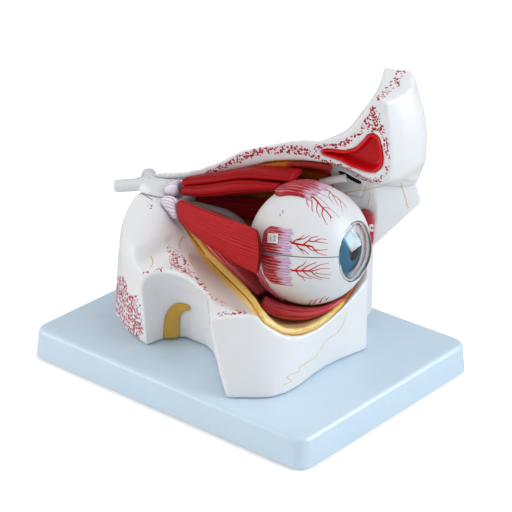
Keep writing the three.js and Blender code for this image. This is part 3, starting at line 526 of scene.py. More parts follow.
@dataclass(frozen=True)
class Finish:
    """A plain glossy finish; its material is made once and shared.

    Mottle and grain are the sizes of its clouds and of its fine bumps. Relief is how strongly bumps
    of relief_depth show.
    """

    name: str
    colour: str
    roughness: float = 0.3
    coat: float = 0.0
    coat_roughness: float = 0.08
    ior: float = 1.5
    metallic: float = 0.0
    specular: float = 0.5
    transmission: float = 0.0
    mottle: float = 14 * MM
    grain: float = 1.6 * MM
    relief: float = 0.12
    relief_depth: float = 0.05 * MM

    def material(self) -> bpy.types.Material:
        """Gives the finish's material, made on first use.

        Returns:
            The material.
        """
        known = bpy.data.materials.get(self.name)
        if known:
            return known
        material = bpy.data.materials.new(self.name)
        material.use_nodes = True
        tree = material.node_tree
        shader = tree.nodes["Principled BSDF"]
        constants = {
            "Base Color": linear(self.colour), "Roughness": self.roughness, "Metallic": self.metallic,
            "IOR": self.ior, "Specular IOR Level": self.specular, "Coat Weight": self.coat,
            "Coat Roughness": self.coat_roughness, "Transmission Weight": self.transmission,
        }
        for name, value in constants.items():
            shader.inputs[name].default_value = value
        dress = self.dress(tree)
        paint = dress.ground
        for share, colour in dress.coats:
            paint = add_node(tree, "Mix", {0: share, 6: paint, 7: colour}, data_type="RGBA").outputs[2]
        if dress.coats:
            tree.links.new(paint, shader.inputs["Base Color"])
        bump = add_node(
            tree, "Bump", {"Height": dress.height, "Strength": self.relief, "Distance": self.relief_depth},
        )
        tree.links.new(bump.outputs["Normal"], shader.inputs["Normal"])
        return material

    def dress(self, tree: Tree) -> Dress:
        """Paints the moulding's faint mottle and gives it orange peel.

        Args:
            tree: The material's node tree.

        Returns:
            The ground, its coats and its relief.
        """
        place = add_node(tree, "TexCoord").outputs["Object"]
        cloud = add_node(tree, "TexNoise", {"Vector": place, "Scale": 1 / self.mottle, "Detail": 3.0})
        peel = add_node(tree, "TexNoise", {"Vector": place, "Scale": 1 / self.grain, "Detail": 2.0})
        coat = (cloud.outputs["Fac"], shade(self.colour, 0.93))
        return Dress(linear(self.colour), [coat], peel.outputs["Fac"])


@dataclass(frozen=True)
class PaintedBone(Finish):
    """Glossy PVC, moulded and painted: white bone with crimson marrow dots and brown shading.

    The marrow dots sit where the "marrow" attribute is, brown painted shade where "stain" is and
    the lining's yellow edge where "rim" is.
    """

    mottle: float = 18 * MM
    grain: float = 2.2 * MM
    relief: float = 0.25
    relief_depth: float = 0.12 * MM
    marrow: str = "#8E0F22"
    marrow_pale: str = "#C23A50"
    # Brown of the painted shade in creases, hollows and openings
    shade_brown: str = "#C0AA98"
    rim: str = "#EFC36C"
    dot_spacing: float = 1.5 * MM
    dot_wobble: float = 1.2 * MM
    dot_drift: float = 0.9 * MM
    haze: float = 0.05
    dot_pit: float = 0.6

    def dress(self, tree: Tree) -> Dress:
        """Paints the mottle, the brown painted shade, the rim and the marrow dots, which lie a little lower.

        Args:
            tree: The material's node tree.

        Returns:
            The ground, its coats and its relief.
        """
        place = add_node(tree, "TexCoord").outputs["Object"]
        marrow, painted_shade, rim = (
            add_node(tree, "Attribute", attribute_name=name).outputs["Fac"]
            for name in ("marrow", "painted_shade", "rim")
        )
        cloud = add_node(tree, "TexNoise", {"Vector": place, "Scale": 1 / self.mottle, "Detail": 3.0})

        # Hand-dabbed dots: one a cell, some left out where the marrow thins, some drawn out
        wobble = add_node(tree, "TexNoise", {"Vector": place, "Scale": 1 / self.dot_wobble})
        drift = add_node(
            tree, "VectorMath", {0: wobble.outputs["Color"], "Scale": self.dot_drift},
            operation="SCALE",
        )
        moved = add_node(tree, "VectorMath", {0: place, 1: drift.outputs[0]}, operation="ADD")
        cells = add_node(
            tree, "TexVoronoi",
            {"Vector": moved.outputs[0], "Scale": 1 / self.dot_spacing, "Randomness": 0.9},
        )
        chance, paleness, bulk = add_node(tree, "SeparateColor", {0: cells.outputs["Color"]}).outputs
        size = add_node(tree, "MapRange", {"Value": bulk, "To Min": 0.4, "To Max": 0.64})
        dot = add_node(
            tree, "Math", {0: cells.outputs["Distance"], 1: size.outputs[0]}, operation="LESS_THAN",
        )
        kept = add_node(tree, "Math", {0: chance, 1: marrow}, operation="LESS_THAN")
        shown = add_node(
            tree, "Math", {0: dot.outputs[0], 1: kept.outputs[0]}, operation="MULTIPLY",
        ).outputs[0]
        blood = add_node(
            tree, "Mix", {0: paleness, 6: linear(self.marrow), 7: linear(self.marrow_pale)}, data_type="RGBA",
        )
        haze = add_node(tree, "Math", {0: marrow, 1: self.haze}, operation="MULTIPLY")
        coats = [
            (cloud.outputs["Fac"], shade(self.colour, 0.94)), (painted_shade, linear(self.shade_brown)),
            (rim, linear(self.rim)), (haze.outputs[0], linear(self.marrow_pale)), (shown, blood.outputs[2]),
        ]

        peel = add_node(tree, "TexNoise", {"Vector": place, "Scale": 1 / self.grain, "Detail": 2.0})
        height = add_node(
            tree, "Math", {0: shown, 1: -self.dot_pit, 2: peel.outputs["Fac"]},
            operation="MULTIPLY_ADD",
        )
        return Dress(linear(self.colour), coats, height.outputs[0])


@dataclass(frozen=True)
class Fibres(Finish):
    """Glossy painted PVC whose strands run along the piece.

    Strands read the "across" and "along" attributes, from 0 to 1.
    """

    relief: float = 0.6
    relief_depth: float = 0.35 * MM
    groove: str = "#5A090D"
    # Lighter strands; on the wet muscles below the ball they are painted highlights
    light: str = "#B02830"
    strands: float = 34.0
    drift: float = 1.5
    # End colour: painted shade of the gap at the ball; on the roof muscles it is painted light
    cut: str = "#2E0507"

    def dress(self, tree: Tree) -> Dress:
        """Paints dark grooves between lighter strands that drift along their way, and the ends' painted shading.

        Args:
            tree: The material's node tree.

        Returns:
            The ground, its coats and its relief.
        """
        across, along = ways = tuple(
            add_node(tree, "Attribute", attribute_name=name).outputs["Fac"]
            for name in ("across", "along")
        )
        bend = streaks(tree, ways, (self.strands * 0.12, self.drift), 1.0, 1.0)
        narrow = strand_lines(tree, across, self.strands, bend, 0.0, 0.42)
        fine = streaks(tree, ways, (self.strands * 1.4, self.drift * 2.5), 1.0, 4.0)
        faint = add_node(
            tree, "MapRange",
            {"Value": fine, "From Min": 0.3, "From Max": 0.7, "To Min": 0.1, "To Max": 0.75},
        )
        hidden = add_node(tree, "Math", {0: narrow, 1: faint.outputs[0]}, operation="MAXIMUM").outputs[0]
        # The last stretch takes the end colour, a painted shade; the roof muscles' is painted light
        end = add_node(
            tree, "MapRange", {"Value": along, "From Min": 0.982, "From Max": 0.998},
            interpolation_type="SMOOTHSTEP",
        )
        body = add_node(
            tree, "Mix", {0: fine, 6: linear(self.colour), 7: linear(self.light)}, data_type="RGBA",
        )
        coats = [(hidden, body.outputs[2]), (end.outputs[0], linear(self.cut))]
        height = add_node(tree, "Math", {0: fine, 1: 0.4, 2: hidden}, operation="MULTIPLY_ADD")
        return Dress(linear(self.groove), coats, height.outputs[0])


@dataclass(frozen=True)
class TendonPatch(Finish):
    """Painted muscle end on the ball: red strands that end in lilac fingers.

    "along" runs from the cut end, 0, to the fingers' tips, 1.
    """

    relief: float = 0.7
    relief_depth: float = 0.5 * MM
    strand: str = "#A5121C"
    gap_colour: str = "#D9929C"
    finger: str = "#C29DBF"
    finger_pale: str = "#E8DFEA"
    strands: float = 20.0
    turn: float = 0.66

    def dress(self, tree: Tree) -> Dress:
        """Paints the strands and their ragged change from red to lilac.

        Args:
            tree: The material's node tree.

        Returns:
            The ground, its coats and its relief.
        """
        across, along = ways = tuple(
            add_node(tree, "Attribute", attribute_name=name).outputs["Fac"]
            for name in ("across", "along")
        )
        streak = streaks(tree, ways, (self.strands * 0.8, 1.6), 1.6, 2.0)
        line = strand_lines(tree, across, self.strands, streak, 0.05, 0.5)
        closed = add_node(
            tree, "MapRange",
            {"Value": streak, "From Min": 0.42, "From Max": 0.62, "To Min": 0.15, "To Max": 0.95},
        )
        strong = add_node(tree, "Math", {0: line, 1: closed.outputs[0]}, operation="MAXIMUM").outputs[0]
        red, lilac = (
            add_node(tree, "Mix", {0: strong, 6: linear(gap), 7: linear(strand)}, data_type="RGBA").outputs[2]
            for gap, strand in ((self.gap_colour, self.strand), (self.finger_pale, self.finger))
        )
        ragged = add_node(tree, "Math", {0: streak, 1: 0.9, 2: along}, operation="MULTIPLY_ADD")
        change = add_node(
            tree, "MapRange",
            {"Value": ragged.outputs[0], "From Min": self.turn + 0.38, "From Max": self.turn + 0.52},
        )
        return Dress(red, [(change.outputs[0], lilac)], streak)


@dataclass(frozen=True)
class TwoTone(Finish):
    """Painted PVC whose colour goes to a second one where the "rim" attribute is."""

    mottle: float = 9 * MM
    relief: float = 0.2
    relief_depth: float = 0.3 * MM
    rim: str = "#D9A441"
    flesh: str = "#8C1013"
    # Pale yellow: painted light on the lining's floor, where shade falls below the oblique muscle
    painted_floor_light: str = "#F8DFA0"

    def dress(self, tree: Tree) -> Dress:
        """Paints the brushed change between the two colours, red where "flesh" is and painted light where "cream"
        is.

        Args:
            tree: The material's node tree.

        Returns:
            The ground, its coats and its relief.
        """
        place = add_node(tree, "TexCoord").outputs["Object"]
        rim, flesh, painted_floor_light = (
            add_node(tree, "Attribute", attribute_name=name).outputs["Fac"]
            for name in ("rim", "flesh", "painted_floor_light")
        )
        noise = add_node(tree, "TexNoise", {"Vector": place, "Scale": 1 / self.mottle, "Detail": 3.0})
        cloud = noise.outputs["Fac"]
        outer = add_node(
            tree, "Mix", {0: cloud, 6: linear(self.rim), 7: shade(self.rim, 0.85)}, data_type="RGBA",
        )
        coats = [
            (cloud, shade(self.colour, 0.7)), (rim, outer.outputs[2]), (painted_floor_light, linear(self.painted_floor_light)),
            (flesh, linear(self.flesh)),
        ]
        return Dress(linear(self.colour), coats, cloud)


@dataclass(frozen=True)
class IrisPaint(Finish):
    """Painted iris behind the cornea: fibres round a black pupil, in rings of blue, and on the far side painted
    refraction of the clear rim.
    """

    relief: float = 0.5
    relief_depth: float = 0.2 * MM
    fibre: str = "#2F6F8F"
    ring: str = "#123447"
    # Far side only: a black crescent, then grey and pink-brown rings that are painted refraction of the clear rim
    crescent: str = "#050608"
    limbus: str = "#A9A7B0"
    refracted_brown: str = "#A87F74"

    def dress(self, tree: Tree) -> Dress:
        """Paints fibres by "turn", a ring by "reach" and, where "inner" is, rings by "deep": a black crescent, and
        grey and pink-brown painted refraction.

        Args:
            tree: The material's node tree.

        Returns:
            The ground, its coats and its relief.
        """
        turn, reach, inner, deep = (
            add_node(tree, "Attribute", attribute_name=name).outputs["Fac"]
            for name in ("turn", "reach", "inner", "deep")
        )
        fibre = streaks(tree, (turn, reach), (60.0, 3.0), 1.0, 3.0)
        coats = [(fibre, linear(self.fibre))]
        rings = (
            (0.9, 1.0, self.ring, reach), (0.5, 0.57, self.crescent, deep),
            (0.74, 0.79, self.limbus, deep), (0.97, 1.01, self.refracted_brown, deep),
        )
        for start, end, colour, way in rings:
            share = add_node(
                tree, "MapRange", {"Value": way, "From Min": start, "From Max": end},
                interpolation_type="SMOOTHSTEP",
            ).outputs[0]
            if way is deep:
                share = add_node(tree, "Math", {0: share, 1: inner}, operation="MULTIPLY").outputs[0]
            coats.append((share, linear(colour)))
        return Dress(linear(self.colour), coats, fibre)


@dataclass(frozen=True)
class ClearPlastic(Finish):
    """Polished clear acrylic, cast and buffed."""

    transmission: float = 1.0
    mottle: float = 6 * MM
    relief: float = 0.03

    def dress(self, tree: Tree) -> Dress:
        """Leaves the colour plain and adds the faintest polish marks.

        Args:
            tree: The material's node tree.

        Returns:
            The ground, its coats and its relief.
        """
        place = add_node(tree, "TexCoord").outputs["Object"]
        marks = add_node(tree, "TexNoise", {"Vector": place, "Scale": 1 / self.mottle, "Detail": 1.0})
        return Dress(linear(self.colour), [], marks.outputs["Fac"])


# Painted PVC bone: white with a soft shine
BONE = PaintedBone(
    "painted_pvc_bone", "#E9EAEC", roughness=0.38, coat=0.1, coat_roughness=0.16, specular=0.35,
)
# ABS base plate, moulded with a fine satin shine
BASE_PLASTIC = Finish("moulded_abs_pale_blue", "#CEE2F1", roughness=0.32)
# Black rubber feet: dull and dark
RUBBER = Finish("moulded_rubber", "#34383C", roughness=0.75)
# Zinc-plated steel: bright and slightly blurred
STEEL = Finish("zinc_plated_steel", "#B9BCC0", roughness=0.32, metallic=1.0)
# Red lacquer inside the sinus: wet-looking
SINUS_RED = Finish("gloss_lacquer_sinus", "#D8141C", roughness=0.34, coat=0.25, specular=0.2)
# Painted periosteum: yellow at the edge, orange-brown inside, with painted light on its floor
LINING = TwoTone("painted_pvc_lining", "#B8601C", roughness=0.4, specular=0.2, rim="#EDC268")
# Paint over the lining's edge on the bone: yellow outside and below, orange under the roof
EDGE_YELLOW = Finish("lining_edge_yellow", "#EBBE66", roughness=0.45, specular=0.2)
EDGE_ORANGE = Finish("lining_edge_orange", "#A8611F", roughness=0.45, specular=0.2)
# Painted muscle: deep red with a thin clear coat over cut grooves, its ends darkened as painted shade
MUSCLE = Fibres(
    "painted_pvc_muscle", "#B21218", roughness=0.42, specular=0.12, groove="#4E070B", light="#CA262C",
    cut="#640B10",
)
# The muscles deep in the orbit: the muscle paint darkened as painted shade, their ends darkest
MUSCLE_SHADED = Fibres(
    "painted_pvc_muscle_shaded", "#7E0B10", roughness=0.36, specular=0.2, groove="#3C0508", light="#A01218",
    strands=22.0,
)
# The two muscles under the roof: painted deeper red as the roof's shade, their ends painted bright as lit
MUSCLE_ROOF_SHADED = Fibres(
    "painted_pvc_muscle_roof_shaded", "#960D12", roughness=0.4, specular=0.08, groove="#3E0508", light="#B41C22",
    strands=26.0, cut="#B41E28",
)
# The muscles below the ball: wet red with a clear coat; their pale pink streaks are painted highlights, their ends
# darkened as painted shade
MUSCLE_WET = Fibres(
    "painted_pvc_muscle_wet", "#C0141C", roughness=0.3, coat=0.6, coat_roughness=0.12, specular=0.2,
    groove="#7A0A10", light="#E4606A", strands=14.0, cut="#8A0C12",
)
# Lilac tendon at the apex: streaked white and violet, its ends darkened as painted shade
TENDON = Fibres(
    "painted_pvc_tendon", "#D4C6DC", roughness=0.36, coat=0.2, groove="#A28EAC", light="#F8F2FA",
    strands=14.0, drift=3.0, relief_depth=0.6 * MM, cut="#AE9CBA",
)
# White nerve paint, the yellow one of the niche, and the grey one in the orbit: grey, painted darker as the shade it
# lies in under the outer muscle
NERVE = Finish("painted_pvc_nerve", "#DFE0E4", roughness=0.3, coat=0.35)
NERVE_YELLOW = Finish("painted_pvc_nerve_yellow", "#CFA036", roughness=0.34, coat=0.2)
NERVE_GREY = Finish("painted_pvc_nerve_grey", "#8A7B78", roughness=0.45, specular=0.25)
# White sleeve that the oblique muscle's tendon runs through
PULLEY_WHITE = Finish("painted_pvc_pulley", "#F2F2F2", roughness=0.3, coat=0.3)
# Ball shell: smooth white lacquer with a clear shine
SCLERA = Finish(
    "gloss_lacquer_sclera", "#DEE0E2", roughness=0.36, coat=0.06, coat_roughness=0.1, specular=0.2,
)
# Polished bead round the cornea on the camera's side, whiter than the shell: a painted highlight line
BEAD_HIGHLIGHT = Finish("bead_highlight_lacquer", "#F8F8F8", roughness=0.15, coat=0.6)
# Brown inner coat of the ball
CHOROID = Finish("painted_pvc_choroid", "#6E2A20", roughness=0.45, coat=0.2)
# Muscle ends on the ball: red strands under a thin coat
PATCH = TendonPatch("painted_muscle_end", "#A5121C", roughness=0.36, coat=0.15, specular=0.3)
PATCH_UPPER = TendonPatch(
    "painted_muscle_end_upper", "#A5121C", roughness=0.36, coat=0.15, specular=0.3, turn=0.84,
    finger="#C9A4BE",
)
# Vessel paint: thin raised crimson lines, the pale one thinned with white
VESSEL = Finish("vessel_paint", "#BE0F1A", roughness=0.45, specular=0.15)
VESSEL_PALE = Finish("vessel_paint_pale", "#C96F82", roughness=0.45, specular=0.15)
# Matt yellow paint of the sutures and nerve openings
SUTURE_PAINT = Finish("suture_paint", "#DCC68C", roughness=0.4)
# Brown paint in the slit and small openings, dull, as painted shade so they read as depth; black paint for a painted
# shadow under the sinus edge
BROWN_PAINT = Finish("brown_paint", "#8E6A5C", roughness=0.5)
SHADOW_BLACK = Finish("painted_shadow_black", "#120C0E", roughness=0.6, specular=0.1)
# Clear parts of the eye: polished, so the iris shows through
CORNEA_CLEAR = ClearPlastic("polished_acrylic", "#FFFFFF", roughness=0.02, ior=1.45, specular=0.35)
LENS_CLEAR = ClearPlastic("cast_acrylic_lens", "#F8FBFC", roughness=0.03, ior=1.49)
VITREOUS_CLEAR = ClearPlastic("cast_acrylic_vitreous", "#F2F7F8", roughness=0.06, ior=1.4)
# Painted iris: steel blue, satin, with painted refraction on its far side
IRIS_PAINT = IrisPaint("painted_iris", "#0D3F5A", roughness=0.5, specular=0.08)
# Painted tear sac: wet pink-red
GLAND = Finish("painted_pvc_gland", "#C02433", roughness=0.3, coat=0.5)
# Paper tag and its grey ink
TAG_WHITE = Finish("printed_tag", "#EFEFEF", roughness=0.5)
INK = Finish("ink_grey", "#8A9298", roughness=0.6)


def finish_piece(obj: Piece, body: Body, slot: Slot, finish: Finish, replaces: Iterable[str] = ()) -> Piece:
    """Dresses a piece, hangs it on its body and hides the CAD nodes that it stands for.

    Args:
        obj: The finished piece, at the origin.
        body: The CAD body that it rides on.
        slot: The material slot; it is not used.
        finish: Its surface.
        replaces: Names of the CAD nodes that it stands for.

    Returns:
        The piece.
    """
    obj.data.materials.clear()
    obj.data.materials.append(finish.material())
    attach(obj, body.value)
    if replaces:
        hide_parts(*replaces)
    log.info("%s: %d faces on %s", obj.name, len(obj.data.polygons), body.value)
    return obj


# Builders of common forms


def swept(
    name: str, place: Callable[[float, float, float], Sequence[float]], around: int, along: int
) -> Piece:
    """Turns a cylinder into a body along a line.

    Args:
        name: The piece's name.
        place: Gives the place in metres from a share along, an angle around and a reach of 0 or 1.
        around: Number of sides.
        along: Number of steps along.

    Returns:
        The new object, with "across" and "along" attributes.
    """
    bpy.ops.object.select_all(action="DESELECT")
    bpy.ops.mesh.primitive_cylinder_add(vertices=around, radius=1, depth=1, end_fill_type="TRIFAN")
    obj = bpy.context.object
    obj.name = obj.data.name = name
    select_edges(obj, lambda a, b: abs(a.z - b.z) > 0.5)
    bpy.ops.mesh.subdivide(number_cuts=along - 1)
    bpy.ops.object.mode_set(mode="OBJECT")
    unit = positions(obj)
    shares = np.clip(unit[:, 2] + 0.5, 0, 1)
    angles = np.arctan2(unit[:, 1], unit[:, 0])
    reaches = np.round(np.hypot(unit[:, 0], unit[:, 1]))
    set_positions(obj, np.array([place(*row) for row in zip(shares, angles, reaches)]))
    set_attribute(obj, "across", (np.cos(angles) + 1) / 2)
    set_attribute(obj, "along", shares)
    recalculate(obj)
    return obj


@dataclass
class Station:
    """Place, size and width direction of a belly at one point of its line, in millimetres."""

    at: Triple
    width: float
    thick: float
    side: Triple
    camber: float = 0.0


@dataclass
class Belly:
    """A muscle or tendon: an oval body along a smooth line, with cut strands."""

    name: str
    stations: list[Station]
    strands: float = 10
    groove: float = 0.3
    around: int = 96
    along: int = 60
    end_round: float = 0.014
    tip: float = 0.88

    def build(self) -> Piece:
        """Sweeps the belly.

        Returns:
            The belly.
        """
        centre = Spline([s.at for s in self.stations])
        size = Spline([(s.width, s.thick, s.camber) for s in self.stations])
        side = Spline([s.side for s in self.stations])

        def place(share: float, angle: float, reach: float) -> np.ndarray:
            """Place of one point of the skin.

            Args:
                share: Share along the belly.
                angle: Angle around it.
                reach: 0 on its line and 1 on its skin.

            Returns:
                The place, in metres.
            """
            middle, run = centre.at(share), centre.tangent(share)
            across = side.at(share)
            across = across - run * across.dot(run)
            across /= np.linalg.norm(across)
            outward = np.cross(across, run)
            width, thick, camber = size.at(share)
            near_end = min(share, 1 - share) / self.end_round
            full = self.tip + (1 - self.tip) * math.sqrt(1 - (1 - min(near_end, 1.0)) ** 2)
            a = math.copysign(abs(math.cos(angle)) ** 0.8, math.cos(angle)) * reach
            height = math.copysign(math.sqrt(max(0.0, 1 - a**4)), math.sin(angle)) * thick / 2 * full * reach
            if reach and height > 0:
                lane = abs(math.cos(self.strands * math.pi * (a + 1) / 2 + 0.6 * math.sin(5 * share)))
                height -= self.groove * (1 - lane) ** 3 * min(1.0, height)
            a *= full
            spot = middle + across * a * width / 2 + outward * (height - camber * a * a)
            return spot * MM

        return swept(self.name, place, self.around, self.along)


def raised_lines(name: str, lines: Iterable[Line]) -> Piece:
    """Makes thin round lines through places, each with its own radius.

    Args:
        name: The piece's name.
        lines: Rows of places and radii, in metres.

    Returns:
        One mesh of all the lines.
    """
    data = bpy.data.curves.new(name, "CURVE")
    data.dimensions = "3D"
    data.bevel_depth = 1.0
    data.bevel_resolution = 2
    data.use_fill_caps = True
    for line in lines:
        spline = data.splines.new("POLY")
        spline.points.add(len(line) - 1)
        for point, (place, radius) in zip(spline.points, line):
            point.co = (*place, 1.0)
            point.radius = radius
    obj = bpy.data.objects.new(name, data)
    bpy.context.scene.collection.objects.link(obj)
    only(obj)
    bpy.ops.object.convert(target="MESH")
    obj = bpy.context.object
    smooth_shading(obj)
    return obj


@dataclass
class Band:
    """A painted band in the photograph: pixels along it, half widths in pixels and strength."""

    points: list[Pixel]
    half_widths: list[float]
    strength: float = 1.0
    softness: float = 1.5

    def shares(self, pixels: np.ndarray) -> np.ndarray:
        """How strongly the band covers each pixel.

        Args:
            pixels: One row a pixel.

        Returns:
            One share a pixel, from 0 to the strength.
        """
        best = np.full(len(pixels), -1e3)
        for i in range(len(self.points) - 1):
            start, end = np.array(self.points[i]), np.array(self.points[i + 1])
            run = end - start
            w = np.clip(((pixels - start) @ run) / (run @ run), 0, 1)
            apart = np.linalg.norm(pixels - (start + w[:, None] * run), axis=1)
            half = self.half_widths[i] + (self.half_widths[i + 1] - self.half_widths[i]) * w
            best = np.maximum(best, half - apart)
        return np.clip(best / self.softness + 0.5, 0, 1) * self.strength


# Base plate, feet and screws


@dataclass
class BasePlate:
    """Moulded tray that carries the model, with four rubber feet and four bone screws."""

    corner: float = 9 * MM
    draft: float = 1.6 * MM
    edge: float = 3 * MM
    wall: float = 3 * MM
    top: float = 3.2 * MM
    rib: float = 2 * MM
    rib_play: float = 4 * MM
    rib_sink: float = 0.5 * MM
    rib_places_x: tuple[float, ...] = (-55 * MM, 0.0, 25 * MM, 80 * MM)
    rib_places_y: tuple[float, ...] = (-52 * MM, 36 * MM)
    foot_post: float = 10 * MM
    boss: float = 5 * MM
    boss_lift: float = 5 * MM
    foot_edge: float = 0.8 * MM
    foot_tread: float = 3.7 * MM
    head_height: float = 2.2 * MM
    head_edge: float = 0.7 * MM
    shank_radius: float = 1.5 * MM
    tip_length: float = 2 * MM
    tip_share: float = 0.1
    drive_rim: float = 1.2 * MM
    drive_slope: float = 0.3 * MM
    drive_depth: float = 1.0 * MM
    feet: tuple[str, ...] = tuple(f"rubber_foot_{i}" for i in range(1, 5))
    screws: tuple[str, ...] = tuple(f"bone_screw_{i}" for i in range(1, 5))

    def build(self) -> None:
        """Builds the tray, its feet and its screws."""
        self.build_tray()
        for name in self.feet:
            self.build_foot(name)
        for name in self.screws:
            self.build_screw(name)

    def build_tray(self) -> None:
        """Models the tray from a box: round corners, drafted sides, soft top edge, ribs below."""
        low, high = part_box("base_plate")
        size = high - low
        obj = lone_box("base_tray", (low + high) / 2, size)
        select_edges(obj, lambda a, b: abs(a.z - b.z) > size.z / 2)
        bpy.ops.mesh.bevel(offset=self.corner, segments=10, affect="EDGES")
        select_faces(obj, lambda f: f.normal.z > 0.9)
        shrink = (1 - 2 * self.draft / size.x, 1 - 2 * self.draft / size.y, 1.0)
        bpy.ops.transform.resize(value=shrink)
        bpy.ops.mesh.bevel(offset=self.edge, segments=6, affect="EDGES")
        select_faces(obj, lambda f: f.normal.z < -0.9)
        bpy.ops.mesh.inset(thickness=self.wall)
        depth = size.z - self.top
        bpy.ops.mesh.extrude_region_move(TRANSFORM_OT_translate={"value": (0, 0, depth)})
        bpy.ops.transform.resize(value=(1 - 4 * self.draft / size.x, 1 - 4 * self.draft / size.y, 1.0))
        bpy.ops.object.mode_set(mode="OBJECT")
        ceiling = high.z - self.top
        height = ceiling - low.z - self.rib_play
        middle_z = ceiling - height / 2 + self.rib_sink
        parts = [obj]
        for x in self.rib_places_x:
            parts.append(lone_box("rib", (x, 0, middle_z), (self.rib, size.y - self.rib_play, height)))
        for y in self.rib_places_y:
            parts.append(lone_box("rib", (0, y, middle_z), (size.x - self.rib_play, self.rib, height)))
        posts = [(name, self.foot_post, 0.0) for name in self.feet]
        posts += [(name, self.boss, self.boss_lift) for name in self.screws]
        for name, radius, lift in posts:
            below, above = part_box(name)
            middle = (below + above) / 2
            start = low.z + lift
            middle.z = (ceiling + start) / 2
            parts.append(lone_cylinder("post", 40, radius, ceiling - start, middle))
        bpy.ops.object.select_all(action="DESELECT")
        for part in parts:
            part.select_set(True)
        bpy.context.view_layer.objects.active = obj
        bpy.ops.object.join()
        bpy.ops.object.transform_apply(location=True, rotation=True, scale=True)
        smooth_shading(obj, 35)
        finish_piece(obj, Body.STAND, Slot.BASE, BASE_PLASTIC, ["base_plate"])

    def build_foot(self, name: str) -> None:
        """Models a rubber foot: a round pad with a dimple below and a soft edge.

        Args:
            name: The foot's CAD node.
        """
        low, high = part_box(name)
        obj = lone_cylinder(f"{name}_pad", 48, (high.x - low.x) / 2, high.z - low.z, (low + high) / 2)
        select_faces(obj, lambda f: f.normal.z < -0.9)
        bpy.ops.mesh.bevel(offset=self.foot_edge, segments=4, affect="EDGES")
        select_faces(obj, lambda f: f.normal.z < -0.99)
        bpy.ops.mesh.inset(thickness=self.foot_tread)
        bpy.ops.mesh.inset(thickness=self.foot_edge, depth=-self.foot_edge)
        bpy.ops.object.mode_set(mode="OBJECT")
        smooth_shading(obj, 30)
        finish_piece(obj, Body.STAND, Slot.RUBBER, RUBBER, [name])

    def build_screw(self, name: str) -> None:
        """Models a pan-head screw with a recess in its head, which lies below the base's boss.

        Args:
            name: The screw's CAD node.
        """
        low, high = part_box(name)
        middle = (low + high) / 2
        middle.z = low.z + self.head_height / 2
        head_radius = (high.x - low.x) / 2
        obj = lone_cylinder(f"{name}_turned", 32, head_radius, self.head_height, middle)
        select_faces(obj, lambda f: f.normal.z > 0.9)
        bpy.ops.mesh.inset(thickness=head_radius - self.shank_radius)
        shank = high.z - low.z - self.head_height - self.tip_length
        for length in (shank, self.tip_length):
            bpy.ops.mesh.extrude_region_move(TRANSFORM_OT_translate={"value": (0, 0, length)})
        bpy.ops.transform.resize(value=(self.tip_share, self.tip_share, 1.0))
        select_faces(obj, lambda f: f.normal.z < -0.9)
        bpy.ops.mesh.bevel(offset=self.head_edge, segments=3, affect="EDGES")
        select_faces(obj, lambda f: f.normal.z < -0.99)
        bpy.ops.mesh.inset(thickness=self.drive_rim)
        bpy.ops.mesh.inset(thickness=self.drive_slope, depth=-self.drive_depth)
        bpy.ops.object.mode_set(mode="OBJECT")
        smooth_shading(obj, 30)
        finish_piece(obj, Body.STAND, Slot.STEEL, STEEL, [name])


def lone_box(name: str, middle: Sequence[float], size: Sequence[float]) -> Piece:
    """Adds a box alone, with its size and place in its mesh.

    Args:
        name: The box's name.
        middle: Its middle.
        size: Its length, width and height.

    Returns:
        The box.
    """
    bpy.ops.object.select_all(action="DESELECT")
    bpy.ops.mesh.primitive_cube_add(size=1, location=middle)
    obj = bpy.context.object
    obj.name = obj.data.name = name
    obj.scale = size
    bpy.ops.object.transform_apply(location=True, rotation=True, scale=True)
    return obj


def lone_cylinder(name: str, sides: int, radius: float, depth: float, middle: Sequence[float]) -> Piece:
    """Adds an upright cylinder alone, with its place in its mesh.

    Args:
        name: The cylinder's name.
        sides: Number of sides.
        radius: Its radius.
        depth: Its height.
        middle: Its middle.

    Returns:
        The cylinder.
    """
    bpy.ops.object.select_all(action="DESELECT")
    bpy.ops.mesh.primitive_cylinder_add(vertices=sides, radius=radius, depth=depth, location=middle)
    obj = bpy.context.object
    obj.name = obj.data.name = name
    bpy.ops.object.transform_apply(location=True, rotation=True, scale=True)
    return obj


# Bones, sinus and lining


